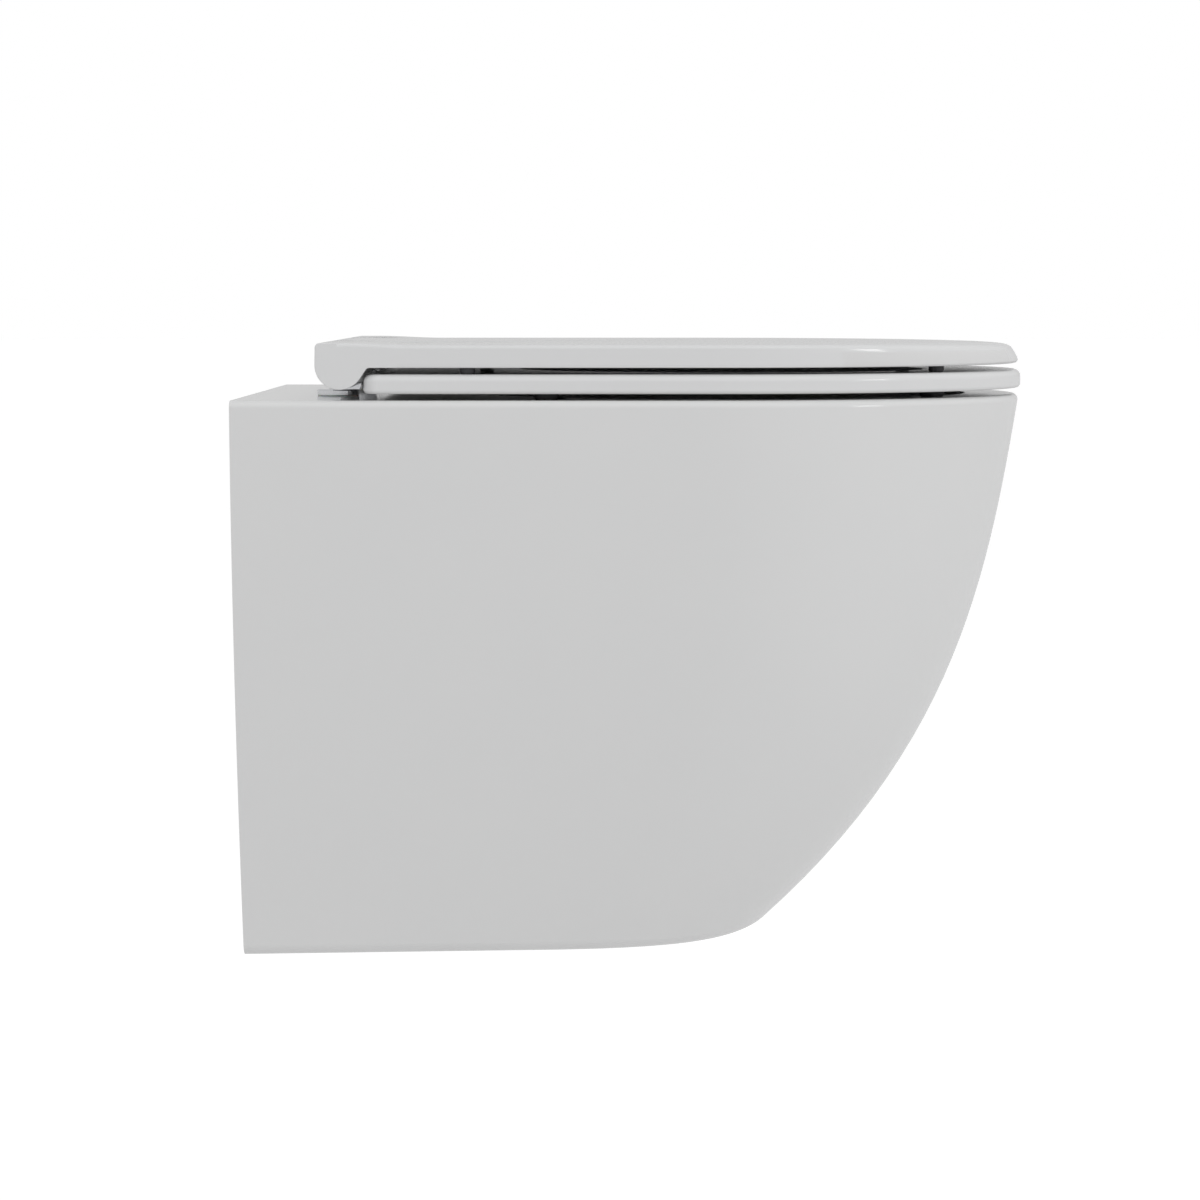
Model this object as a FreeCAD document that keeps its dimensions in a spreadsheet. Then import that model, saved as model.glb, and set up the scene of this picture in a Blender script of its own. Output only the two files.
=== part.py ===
import FreeCAD, Part

import os
import re

import Sketcher
from FreeCAD import Placement, Rotation, Vector

# A wall hung toilet: ceramic pan, seat ring and lid on a common hinge axis, with the hidden wall fixings.
# Millimetres. The origin lies midway between the two wall studs, on the wall. +Z is up, the front of the
# pan points to -Y and +X is the right-hand side of someone who faces the toilet.
# "reach" is a distance from the wall (-Y), "depth" a distance below the rim and "rise" one above it.
# An allowance makes up for what a later rounding or lean takes away, and "overrun" is how far a cutting
# shape passes the face that it cuts.

SIZES = (
    # ceramic pan, outside
    ("pan_length", 520),
    ("nose_allowance", 1),
    ("pan_width", 360),
    ("pan_height", 366),
    ("rim_level", 100),
    ("side_taper", 46),
    ("side_taper_power", 1.84),
    ("base_pinch", 13),
    ("front_lean", 54),
    ("front_curve", 121),
    ("nose_length", 220),
    ("nose_shrink", 88),
    ("rim_rounding", 3),
    ("base_rounding", 8),
    # ceramic pan, inside
    ("ceramic_wall", 11),
    ("lean_allowance", 0.5),
    ("deck_thickness", 16),
    ("bowl_rear", 146),
    ("bowl_front", 480),
    ("bowl_half_width", 141),
    ("ledge_depth", 60),
    ("ledge_width", 9),
    ("well_rounding", 6),
    ("sump_rear", 208),
    ("sump_front", 300),
    ("sump_half_width", 36),
    ("sump_depth", 344),
    ("throat_length", 60),
    ("trap_radius", 25.5),
    ("trap_wall", 12.5),
    ("trap_bend", 60),
    ("trap_bend_reach", 185),
    ("trap_climb", 60),
    ("riser_length", 95),
    ("waste_depth", 200),
    ("waste_inner", 43),
    ("waste_outer", 51),
    ("waste_length", 85),
    ("spigot_length", 60),
    ("collar_height", 3),
    ("funnel_depth", 71),
    ("pool_depth", 200),
    ("inlet_depth", 65),
    ("inlet_radius", 27.5),
    ("inlet_length", 112),
    ("outlet_half_width", 48),
    ("outlet_height", 32),
    ("outlet_rear", 101),
    ("shelf_rear", 38),
    ("shelf_front", 90),
    ("shelf_depth", 56),
    ("shelf_thickness", 14),
    ("overrun", 5),
    # wall fixings
    ("stud_spacing", 180),
    ("stud_radius", 6),
    ("stud_hole", 6.5),
    ("bracket_plate", 5),
    ("bracket_inner", 64),
    ("bracket_outer", 112),
    ("bracket_foot", 24),
    ("bracket_arm", 6),
    ("bracket_reach", 78),
    ("arm_outer", 93),
    ("weld_nut_radius", 7.5),
    ("weld_nut_height", 10),
    ("washer_radius", 12),
    ("washer_thickness", 2.5),
    ("nut_width", 19),
    ("nut_height", 10),
    ("clamp_hole", 10),
    ("clamp_shank", 4),
    ("clamp_head", 6.5),
    ("clamp_head_height", 8),
    ("clamp_length", 40),
    ("socket_radius", 3),
    ("socket_depth", 4),
    ("cone_radius", 14),
    ("cone_top_radius", 7.5),
    ("cone_height", 4),
    ("cone_spigot", 12),
    ("cone_spigot_radius", 9.5),
    # seat hinge
    ("hinge_spacing", 155),
    ("hinge_hole", 8),
    ("base_reach", 60.4),
    ("axis_reach", 68),
    ("axis_rise", 22),
    ("gasket_radius", 13.5),
    ("gasket_thickness", 0.8),
    ("base_radius", 14),
    ("base_thickness", 3.6),
    ("base_chamfer", 1),
    ("post_width", 15),
    ("post_radius", 13.5),
    ("post_shoulder", 13.2),
    ("post_rear", 57),
    ("post_front", 75),
    ("pin_radius", 4),
    ("pin_inner", 46),
    ("pin_outer", 118),
    ("bolt_radius", 3),
    ("bolt_end", 38),
    ("bolt_head", 6),
    ("bolt_head_height", 2.4),
    ("bolt_head_sink", 0.2),
    ("bolt_socket", 2),
    ("bolt_socket_depth", 1.5),
    ("anchor_radius", 7.6),
    ("anchor_bulge", 9.6),
    ("anchor_taper", 3),
    ("anchor_top", 0.2),
    ("anchor_length", 28),
    ("cone_nut_length", 9),
    ("cone_nut_radius", 7.1),
    ("cone_nut_tip", 5.1),
    ("set_screw_radius", 2.5),
    ("set_screw_length", 8),
    ("set_screw_socket", 1.2),
    ("set_screw_socket_depth", 3),
    ("casting_gap", 0.5),
    ("running_gap", 0.05),
    ("fit_gap", 0.1),
    ("end_gap", 0.5),
    # seat ring
    ("cover_nose", 215),
    ("seat_front", 522),
    ("seat_rear", 84),
    ("seat_half_width", 175.5),
    ("seat_rise", 4),
    ("seat_thickness", 12.4),
    ("seat_top_rounding", 5),
    ("seat_under_rounding", 2.5),
    ("opening_reach", 318),
    ("opening_half_length", 134),
    ("opening_half_width", 112),
    ("knuckle_radius", 9.5),
    ("knuckle_inner", 40),
    ("knuckle_outer", 69.2),
    ("arm_front", 92),
    ("arm_rear", 72),
    ("arm_rise", 6.5),
    ("arm_top", 19.4),
    ("cartridge_radius", 7.4),
    ("buffer_foot", 1.5),
    ("buffer_chamfer", 1),
    ("seat_buffer_radius", 8),
    ("seat_buffer_rear_reach", 200),
    ("seat_buffer_rear_side", 155),
    ("seat_buffer_front_reach", 452),
    ("seat_buffer_front_side", 98),
    # lid
    ("lid_front", 520),
    ("lid_rear", 53),
    ("lid_half_width", 174),
    ("lid_rise", 20.5),
    ("lid_top", 34.8),
    ("hump_top", 36.2),
    ("hump_reach", 72),
    ("hump_end", 115),
    ("hump_chamfer", 2.5),
    ("lid_rounding", 4),
    ("lobe_radius", 15.5),
    ("flank_foot_reach", 80.85),
    ("flank_foot_rise", 11.8),
    ("flank_top_reach", 86.7),
    ("recess_inset", 14),
    ("recess_rear", 104),
    ("recess_height", 9),
    ("notch_half_width", 8.3),
    ("notch_front", 84.5),
    ("pocket_inner", 38.8),
    ("pocket_radius", 10.2),
    ("cartridge_length", 50),
    ("cartridge_play", 0.4),
    ("lid_buffer_radius", 5),
    ("lid_buffer_rear_reach", 150),
    ("lid_buffer_rear_side", 167),
    ("lid_buffer_front_reach", 453),
    ("lid_buffer_front_side", 113),
)

X_AXIS = Vector(1, 0, 0)
ALONG_X = Rotation(Vector(0, 1, 0), 90)
ALONG_Y = Rotation(X_AXIS, 90)
INTO_WALL = Rotation(X_AXIS, -90)
ON_Y = Rotation(Vector(0, 0, 1), 90)
# a cubic curve's handle for a quarter of an ellipse, as a share of its half axis
QUARTER_HANDLE = 0.5523
LEVEL_TOLERANCE = 0.01

doc = FreeCAD.newDocument("WallHungToilet")
sheet = doc.addObject("Spreadsheet::Sheet", "Sizes")
for row, (alias, number) in enumerate(SIZES, start=1):
    sheet.set(f"A{row}", alias)
    sheet.set(f"B{row}", str(number))
    sheet.setAlias(f"B{row}", alias)
doc.recompute()
ALIASES = {alias for alias, number in SIZES}


def size(alias):
    """The number in the sheet's cell of that name."""
    return float(sheet.get(alias))


def formula(words):
    """An expression on the sheet's cells, written with their bare names."""
    return re.sub(r"[a-z_]+", lambda m: f"Sizes.{m[0]}" if m[0] in ALIASES else m[0], str(words))


def bind(feature, **formulas):
    """Bind properties of a feature to formulas."""
    for name, words in formulas.items():
        feature.setExpression(name, formula(words))


def put(feature, place, turn=Rotation()):
    """Turn a feature and bind its place to three formulas."""
    feature.Placement = Placement(Vector(), turn)
    for axis, words in zip("xyz", place):
        feature.setExpression(f"Placement.Base.{axis}", formula(words))
    return feature


# Plain solids ---------------------------------------------------------------------------------------

def box(name, low, high):
    """A block between two corners, each three formulas."""
    block = doc.addObject("Part::Box", name)
    spans = [f"({end}) - ({start})" for start, end in zip(low, high)]
    bind(block, Length=spans[0], Width=spans[1], Height=spans[2])
    return put(block, low)


def cylinder(name, radius, length, place, turn=Rotation()):
    """A round bar from place, along Z before its turn."""
    bar = doc.addObject("Part::Cylinder", name)
    bind(bar, Radius=radius, Height=length)
    return put(bar, place, turn)


def ball(name, radius, place):
    """A sphere about place."""
    sphere = doc.addObject("Part::Sphere", name)
    bind(sphere, Radius=radius)
    return put(sphere, place)


def ellipse(name, half_length, half_width, place):
    """A flat ellipse whose long axis lies along Y."""
    curve = doc.addObject("Part::Ellipse", name)
    curve.MajorRadius, curve.MinorRadius = 1000, 1
    bind(curve, MajorRadius=half_length, MinorRadius=half_width)
    return put(curve, place, ON_Y)


def oval_block(name, half_length, half_width, place, height):
    """An upright block on an ellipse."""
    block = doc.addObject("Part::Extrusion", name)
    block.Base = ellipse(name + "Curve", half_length, half_width, place)
    block.DirMode, block.Solid = "Custom", True
    block.Dir = Vector(0, 0, 1)
    bind(block, LengthFwd=height)
    return block


def fuse(name, *shapes):
    """All shapes as one."""
    joined = doc.addObject("Part::MultiFuse", name)
    joined.Shapes = list(shapes)
    joined.Refine = True
    return joined


def cut(name, base, *tools):
    """The base without the tools."""
    remains = doc.addObject("Part::Cut", name)
    remains.Base = base
    remains.Tool = tools[0] if len(tools) == 1 else fuse(name + "Tools", *tools)
    remains.Refine = True
    return remains


def mirror(label, source):
    """The left-hand twin of a right-hand shape."""
    twin = doc.addObject("Part::Mirroring", label)
    twin.Source, twin.Normal = source, X_AXIS
    twin.Label = label
    return twin


def pair(label, source):
    """A right-hand shape and its twin in one group."""
    group = doc.addObject("Part::Compound", label)
    group.Links = [source, mirror(label + "_twin", source)]
    group.Label = label
    return group


def quartet(label, *sources):
    """Several right-hand shapes and their twins in one group."""
    group = doc.addObject("Part::Compound", label)
    group.Links = [*sources, *(mirror(f"{label}_twin{i}", source) for i, source in enumerate(sources))]
    group.Label = label
    return group


def finish(label, shape):
    """Name a shape after its node."""
    shape.Label = label
    return shape


def level_edges(shape, level, clear_of=None):
    """The numbers of a level's flat edges, but not the one at the wall or any nearer to it than clear_of."""
    flat = []
    for number, edge in enumerate(shape.Edges, start=1):
        bounds = edge.BoundBox
        off_level = max(abs(bounds.ZMin - level), abs(bounds.ZMax - level))
        near = bounds.YMin > -LEVEL_TOLERANCE if clear_of is None else bounds.YMax > -clear_of
        if off_level < LEVEL_TOLERANCE and not near:
            flat.append(number)
    return flat


def round_level(name, base, radius, level, clear_of=None):
    """Round a shape's flat edges at a level."""
    doc.recompute()
    rounded = doc.addObject("Part::Fillet", name)
    rounded.Base = base
    rounded.Edges = [(number, radius, radius) for number in level_edges(base.Shape, level, clear_of)]
    return rounded


# Sketched solids ------------------------------------------------------------------------------------

def sketch(body, name, plane, corners):
    """A closed outline of straight lines whose corners are pairs of formulas."""
    outline = body.newObject("Sketcher::SketchObject", name)
    face = next(item for item in body.Origin.OriginFeatures if item.Role == plane)
    outline.AttachmentSupport = [(face, "")]
    outline.MapMode = "FlatFace"
    numbers = [[sheet.evalExpression(formula(words)) for words in corner] for corner in corners]
    points = [Vector(float(across), float(up), 0) for across, up in numbers]
    for start, end in zip(points, points[1:] + points[:1]):
        outline.addGeometry(Part.LineSegment(start, end), False)
    count = len(points)
    for line in range(count):
        outline.addConstraint(Sketcher.Constraint("Coincident", line, 2, (line + 1) % count, 1))
    for line, (point, corner) in enumerate(zip(points, corners)):
        for kind, value, words in zip(("DistanceX", "DistanceY"), (point.x, point.y), corner):
            index = outline.addConstraint(Sketcher.Constraint(kind, -1, 1, line, 1, value))
            outline.setExpression(f"Constraints[{index}]", formula(words))
    return outline


def turned(label, profile, place, along="Z", turn=Rotation()):
    """A body of revolution; the profile's corners are (distance along the axis, radius)."""
    body = doc.addObject("PartDesign::Body", label)
    body.Label = label
    upright = along == "Z"
    corners = [(radius, distance) if upright else (distance, radius) for distance, radius in profile]
    outline = sketch(body, label + "Profile", "XZ_Plane" if upright else "XY_Plane", corners)
    revolved = body.newObject("PartDesign::Revolution", label + "Turn")
    revolved.Profile = outline
    revolved.ReferenceAxis = (outline, ["V_Axis" if upright else "H_Axis"])
    revolved.Angle = 360
    return put(body, place, turn)


def padded(label, plane, corners, length, place):
    """A body that stands on an outline by length, evenly to both sides of its plane."""
    body = doc.addObject("PartDesign::Body", label)
    body.Label = label
    pad = body.newObject("PartDesign::Pad", label + "Pad")
    pad.Profile = sketch(body, label + "Outline", plane, corners)
    pad.Midplane = True
    bind(pad, Length=length)
    return put(body, place)


# Ceramic pan ----------------------------------------------------------------------------------------

def pan_outline(depth, inset, rear):
    """The pan's outline at a depth below the rim, drawn in by inset, from the wall side to the nose."""
    share = depth / size("pan_height")
    half_width = size("pan_width") / 2 - size("side_taper") * share ** size("side_taper_power") - inset
    pinched = half_width - size("base_pinch") * share ** 2
    front = size("pan_length") + size("nose_allowance") - size("front_lean") * share
    front -= size("front_curve") * share ** 3 + inset * (1 + size("lean_allowance") * share)
    nose = size("nose_length") - size("nose_shrink") * share
    level = size("rim_level") - depth
    shoulder = front - nose
    slope = (half_width - pinched) / shoulder
    handle = QUARTER_HANDLE * nose
    edges = []
    for side in (1, -1):
        points = [
            Vector(side * half_width, -rear, level),
            Vector(side * pinched, -shoulder, level),
            Vector(side * (pinched - slope * handle), -shoulder - handle, level),
            Vector(side * QUARTER_HANDLE * pinched, -front, level),
            Vector(0, -front, level),
        ]
        nose_curve = Part.BezierCurve()
        nose_curve.setPoles(points[1:])
        run = [Part.LineSegment(points[0], points[1]).toShape(), nose_curve.toShape()]
        edges += run if side == 1 else run[::-1]
    edges.append(Part.makeLine(Vector(-half_width, -rear, level), Vector(half_width, -rear, level)))
    return Part.Wire(Part.__sortEdges__(edges))


def pan_form(name, top, bottom, inset):
    """The solid inside the pan's outlines between two depths, open past the wall."""
    steps = 8
    depths = [top + (bottom - top) * step / steps for step in range(steps + 1)]
    form = doc.addObject("Part::Feature", name)
    outlines = [pan_outline(depth, inset, -size("overrun")) for depth in depths]
    form.Shape = Part.makeLoft(outlines, True)
    form.Placement = Placement()
    return form


def bowl_form(name, wall, top, bottom):
    """The bowl's inside, larger by wall: a well with upright sides down to the ledge, a funnel below it."""
    half_length = f"((bowl_front - bowl_rear) / 2 + {wall})"
    place = ("0", "-(bowl_front + bowl_rear) / 2", f"rim_level - ledge_depth - {wall}")
    well = oval_block(name + "Well", half_length, f"bowl_half_width + {wall}", place,
                      f"ledge_depth + {wall} - ({top})")
    steps = 6
    sections = []
    for step in range(steps + 1):
        share = f"({step} / {steps})"
        depth = f"(ledge_depth + (sump_depth - ledge_depth) * {share} + ({bottom}) * {share})"
        rear, front, half = (
            f"({start} + ({end} - ({start})) * {share} ^ {power} {outwards} {wall})"
            for start, end, power, outwards in (
                ("bowl_rear + ledge_width", "sump_rear", 0.8, "-"),
                ("bowl_front - ledge_width", "sump_front", 1.4, "+"),
                ("bowl_half_width - ledge_width", "sump_half_width", 1.3, "+"),
            )
        )
        place = ("0", f"-({rear} + {front}) / 2", f"rim_level - {depth}")
        sections.append(ellipse(f"{name}Section{step}", f"({front} - {rear}) / 2", half, place))
    funnel = doc.addObject("Part::Loft", name + "Funnel")
    funnel.Sections, funnel.Solid = sections, True
    return fuse(name, well, funnel)


def trap_form(name, wall, overrun):
    """The trap's passage from the sump over the weir to the wall, larger by wall."""
    radius = f"(trap_radius + {wall})"
    floor = "rim_level - sump_depth + trap_radius"
    throat = cylinder(name + "Throat", radius, "throat_length", ("0", "-trap_bend_reach", floor), ALONG_Y)
    bend = doc.addObject("Part::Torus", name + "Bend")
    bind(bend, Radius1="trap_bend", Radius2=radius, Angle3="trap_climb")
    put(bend, ("0", "-trap_bend_reach", f"{floor} + trap_bend"), Rotation(Vector(0, 1, 0), 90))
    riser_foot = ("0", "-trap_bend_reach + trap_bend * sin(trap_climb * 1 deg)",
                  f"{floor} + trap_bend * (1 - cos(trap_climb * 1 deg))")
    climb = Rotation(X_AXIS, size("trap_climb") - 90)
    riser = cylinder(name + "Riser", radius, "riser_length", riser_foot, climb)
    waste = ("0", "-waste_length", "rim_level - waste_depth")
    solid = wall != "0"
    chamber_radius = "waste_outer + collar_height" if solid else "waste_inner"
    passage = [throat, bend, riser, ball(name + "Chamber", chamber_radius, waste)]
    if solid:
        passage.append(cylinder(name + "Collar", chamber_radius, "waste_length - spigot_length", waste,
                                INTO_WALL))
    passage.append(cylinder(name + "Spout", "waste_outer" if solid else "waste_inner",
                            f"waste_length + {overrun}", waste, INTO_WALL))
    return fuse(name, *passage)


def make_shroud(bowl_room, trap_room, holes):
    """The pan's outer shell with its deck, open at the wall and around the bowl."""
    foot = size("rim_level") - size("pan_height")
    outside = pan_form("ShroudOutside", 0, size("pan_height"), 0)
    outside = round_level("ShroudFoot", outside, size("base_rounding"), foot)
    outside = round_level("ShroudShoulder", outside, size("rim_rounding"), size("rim_level"))
    hollow_floor = size("pan_height") - size("ceramic_wall")
    hollow = pan_form("ShroudHollow", size("deck_thickness"), hollow_floor, size("ceramic_wall"))
    behind = box("ShroudBehindWall", ("-pan_width", "0", "-pan_height"),
                 ("pan_width", "pan_width", "pan_height"))
    return finish("pan_shroud", cut("ShroudDone", outside, hollow, behind, bowl_room, trap_room, *holes))


def between(label, source, top, bottom):
    """The part of a shape between two depths."""
    slab = box(label + "_slab", ("-pan_width", "-2 * bowl_front", f"rim_level - ({bottom})"),
               ("pan_width", "0", f"rim_level - ({top})"))
    part = doc.addObject("Part::Common", label)
    part.Base, part.Tool = source, slab
    return finish(label, part)


def make_bowl(slot):
    """The bowl in three storeys: the well with its ledge, the funnel, and the sump with its throat."""
    bowl = cut("BowlBlank", bowl_form("BowlOutside", "ceramic_wall", "0", "ceramic_wall"),
               bowl_form("BowlInside", "0", "-overrun", "0"), trap_form("BowlThroat", "0", "overrun"), slot)
    inside_only = size("bowl_rear") - LEVEL_TOLERANCE
    rim = round_level("BowlRim", bowl, size("well_rounding"), size("rim_level"), inside_only)
    return [
        between("pan_well", rim, "-overrun", "funnel_depth"),
        between("pan_funnel", rim, "funnel_depth + casting_gap", "pool_depth"),
        between("pan_sump", rim, "pool_depth + casting_gap", "sump_depth + 2 * ceramic_wall"),
    ]


def make_shelf(holes):
    """The two ledges inside the shroud that the clamp screws pull down on, beside the flush channel."""
    top = "rim_level - shelf_depth"
    slab = box("ShelfSlab", ("-pan_width / 2", "-shelf_front", f"{top} - shelf_thickness"),
               ("pan_width / 2", "-shelf_rear", top))
    room = pan_form("ShelfRoom", size("deck_thickness"), size("shelf_depth") + 2 * size("shelf_thickness"),
                    size("ceramic_wall") + size("casting_gap"))
    trimmed = doc.addObject("Part::Common", "ShelfTrimmed")
    trimmed.Base, trimmed.Tool = slab, room
    channel = cylinder("ShelfChannelRoom", "inlet_radius + ceramic_wall + casting_gap", "inlet_length",
                       ("0", "0", "rim_level - inlet_depth"), ALONG_Y)
    return finish("pan_shelf", cut("ShelfDone", trimmed, channel, *holes))


def make_pan():
    """The ceramic pan: one casting in use, kept here as the simpler bodies it is made up of."""
    inlet_centre = ("0", "0", "rim_level - inlet_depth")
    slot_top = "rim_level - ledge_depth + outlet_height"
    shelf_top = "rim_level - shelf_depth"
    bowl_room = bowl_form("BowlRoom", "(ceramic_wall + casting_gap)", "-overrun",
                          "(ceramic_wall + casting_gap)")
    trap_room = trap_form("TrapRoom", "(trap_wall + casting_gap)", "overrun")
    slot = box("OutletSlot",
               ("-outlet_half_width", "-bowl_rear - 4 * ledge_width", "rim_level - ledge_depth"),
               ("outlet_half_width", "-inlet_length", slot_top))
    deck_holes = []
    shelf_holes = []
    for side, sign in (("Right", ""), ("Left", "-")):
        at = (f"{sign}hinge_spacing / 2", "-base_reach")
        deck_holes.append(cylinder(f"HingeHole{side}", "hinge_hole", "deck_thickness + 2 * overrun",
                                   (*at, "rim_level - deck_thickness - overrun")))
        shelf_holes.append(cylinder(f"ClampHole{side}", "clamp_hole", "shelf_thickness + 2 * overrun",
                                    (*at, f"{shelf_top} - shelf_thickness - overrun")))
    trapway = cut("TrapwayDone", trap_form("TrapOutside", "trap_wall", "0"), bowl_room,
                  trap_form("TrapInside", "0", "overrun"))
    channel = fuse(
        "ChannelOutside",
        cylinder("InletOutside", "inlet_radius + ceramic_wall", "inlet_length + overrun", inlet_centre,
                 ALONG_Y),
        box("OutletOutside",
            ("-outlet_half_width - ceramic_wall", "-bowl_rear - 2 * ceramic_wall",
             "rim_level - inlet_depth - inlet_radius"),
            ("outlet_half_width + ceramic_wall", "-outlet_rear", f"{slot_top} + ceramic_wall")),
    )
    inlet_bore = cylinder("InletBore", "inlet_radius", "inlet_length + 2 * overrun",
                          ("0", "overrun", inlet_centre[2]), ALONG_Y)
    return [
        make_shroud(bowl_room, trap_room, deck_holes),
        *make_bowl(slot),
        finish("pan_trapway", trapway),
        finish("pan_flush_channel", cut("ChannelDone", channel, bowl_room, slot, inlet_bore)),
        make_shelf(shelf_holes),
    ]


# Wall fixings ---------------------------------------------------------------------------------------

def make_wall_fixings():
    """Brackets on the wall studs and the screws that clamp the pan's shelf to them."""
    arm_top = "rim_level - shelf_depth - shelf_thickness"
    clamp_line = ("hinge_spacing / 2", "-base_reach")
    plate = box("BracketPlate", ("bracket_inner", "-bracket_plate", "-bracket_foot"),
                ("bracket_outer", "0", arm_top))
    arm = box("BracketArm", ("bracket_inner", "-bracket_reach", f"{arm_top} - bracket_arm"),
              ("arm_outer", "0", arm_top))
    nut_foot = (*clamp_line, f"{arm_top} - bracket_arm - weld_nut_height")
    weld_nut = cylinder("WeldNut", "weld_nut_radius", "weld_nut_height + bracket_arm / 2", nut_foot)
    stud_hole = cylinder("StudHole", "stud_hole", "bracket_plate + 2 * overrun",
                         ("stud_spacing / 2", "overrun", "0"), ALONG_Y)
    thread = cylinder("ClampThread", "clamp_shank + fit_gap", "2 * clamp_length",
                      (*clamp_line, f"{arm_top} - clamp_length"))
    bracket = cut("wall_bracket_right", fuse("Bracket", plate, arm, weld_nut), stud_hole, thread)

    washer = turned("StudWasher", [("0", "stud_hole"), ("0", "washer_radius"),
                                   ("washer_thickness", "washer_radius"), ("washer_thickness", "stud_hole")],
                    ("stud_spacing / 2", "-bracket_plate", "0"), turn=ALONG_Y)
    hexagon = doc.addObject("Part::Prism", "Hexagon")
    hexagon.Polygon = 6
    bind(hexagon, Circumradius="nut_width / 2 / cos(30 deg)", Height="nut_height")
    nut_seat = ("stud_spacing / 2", "-bracket_plate - washer_thickness", "0")
    put(hexagon, nut_seat, ALONG_Y)
    nut_bore = cylinder("NutBore", "stud_radius", "nut_height + 4 * overrun",
                        ("stud_spacing / 2", "0", "0"), ALONG_Y)
    nut = cut("StudNut", hexagon, nut_bore)

    head_top = "cone_height + clamp_head_height"
    shank_end, socket_floor = "cone_height - clamp_length", f"{head_top} - socket_depth"
    seat_level = (*clamp_line, "rim_level - shelf_depth")
    screw = turned("ClampScrew", [(shank_end, "0"), (shank_end, "clamp_shank"),
                                  ("cone_height", "clamp_shank"), ("cone_height", "clamp_head"),
                                  (head_top, "clamp_head"), (head_top, "socket_radius"),
                                  (socket_floor, "socket_radius"), (socket_floor, "0")], seat_level)
    bore = "clamp_shank + fit_gap"
    cone = turned("ClampCone", [("-cone_spigot", bore), ("-cone_spigot", "cone_spigot_radius"),
                                ("0", "cone_spigot_radius"), ("0", "cone_radius"),
                                ("cone_height", "cone_top_radius"), ("cone_height", bore)], seat_level)
    return [
        finish("wall_bracket_right", bracket), mirror("wall_bracket_left", bracket),
        pair("stud_washers", washer), pair("stud_nuts", nut),
        pair("clamp_screws", screw), pair("clamp_washers", cone),
    ]


# Seat hinge -----------------------------------------------------------------------------------------

def make_hinges():
    """Both hinges: gasket, base, post, pin and the bolt with its expansion anchor."""
    deck = ("hinge_spacing / 2", "-base_reach", "rim_level")
    axis = ("hinge_spacing / 2", "-axis_reach", "rim_level + axis_rise")
    bore = "bolt_radius + fit_gap"
    base_top = "gasket_thickness + base_thickness"
    recess = f"{base_top} - bolt_head_height - bolt_head_sink"
    head_hole = "bolt_head + fit_gap"
    gasket = turned("hinge_gasket_right", [("0", bore), ("0", "gasket_radius"),
                                           ("gasket_thickness", "gasket_radius"),
                                           ("gasket_thickness", bore)], deck)
    base = turned("hinge_base_right", [("gasket_thickness", bore), ("gasket_thickness", "base_radius"),
                                       (f"{base_top} - base_chamfer", "base_radius"),
                                       (base_top, "base_radius - base_chamfer"), (base_top, head_hole),
                                       (recess, head_hole), (recess, bore)], deck)
    stem = padded("PostStem", "YZ_Plane", [("-post_rear", base_top), ("-post_front", base_top),
                                           ("-axis_reach - post_shoulder", "axis_rise"),
                                           ("-axis_reach + post_shoulder", "axis_rise")],
                  "post_width", ("hinge_spacing / 2", "0", "rim_level"))
    eye = cylinder("PostEye", "post_radius", "post_width",
                   ("hinge_spacing / 2 - post_width / 2", axis[1], axis[2]), ALONG_X)
    pin_hole = cylinder("PinHole", "pin_radius + fit_gap", "2 * post_width",
                        ("hinge_spacing / 2 - post_width", axis[1], axis[2]), ALONG_X)
    screw_hole = cylinder("SetScrewHole", "set_screw_radius + fit_gap", "post_radius + overrun",
                          (axis[0], "-axis_reach + post_radius + overrun", axis[2]), ALONG_Y)
    post = cut("hinge_post_right", fuse("Post", stem, eye), pin_hole, screw_hole)
    pin = turned("hinge_pin_right", [("pin_inner", "0"), ("pin_inner", "pin_radius"),
                                     ("pin_outer", "pin_radius"), ("pin_outer", "0")],
                 ("0", axis[1], axis[2]), "X")
    key_floor = "set_screw_length - set_screw_socket_depth"
    set_screw = turned("SetScrew", [("0", "0"), ("0", "set_screw_radius"),
                                    ("set_screw_length", "set_screw_radius"),
                                    ("set_screw_length", "set_screw_socket"),
                                    (key_floor, "set_screw_socket"), (key_floor, "0")],
                       (axis[0], "-axis_reach + pin_radius + fit_gap", axis[2]), turn=INTO_WALL)
    head_top = f"{recess} + bolt_head_height"
    key_floor = f"{head_top} - bolt_socket_depth"
    bolt = turned("HingeBolt", [("-bolt_end", "0"), ("-bolt_end", "bolt_radius"), (recess, "bolt_radius"),
                                (recess, "bolt_head"), (head_top, "bolt_head"), (head_top, "bolt_socket"),
                                (key_floor, "bolt_socket"), (key_floor, "0")], deck)
    anchor = turned("hinge_anchor_right", [("-anchor_length", bore), ("-anchor_length", "anchor_radius"),
                                           ("-anchor_length + anchor_taper", "anchor_bulge"),
                                           ("-deck_thickness - anchor_taper", "anchor_bulge"),
                                           ("-deck_thickness - end_gap", "anchor_radius"),
                                           ("-anchor_top", "anchor_radius"), ("-anchor_top", bore)], deck)
    nut_end = "-anchor_length - cone_nut_length"
    cone_nut = turned("ConeNut", [(nut_end, bore), (nut_end, "cone_nut_tip"),
                                  ("-anchor_length", "cone_nut_radius"), ("-anchor_length", bore)], deck)
    pieces = [finish("hinge_post_right", post), mirror("hinge_post_left", post)]
    for piece in (gasket, base, pin, anchor):
        pieces += [piece, mirror(piece.Label.replace("right", "left"), piece)]
    pieces += [pair("hinge_bolts", bolt), pair("anchor_nuts", cone_nut), pair("pin_set_screws", set_screw)]
    return pieces


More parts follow.
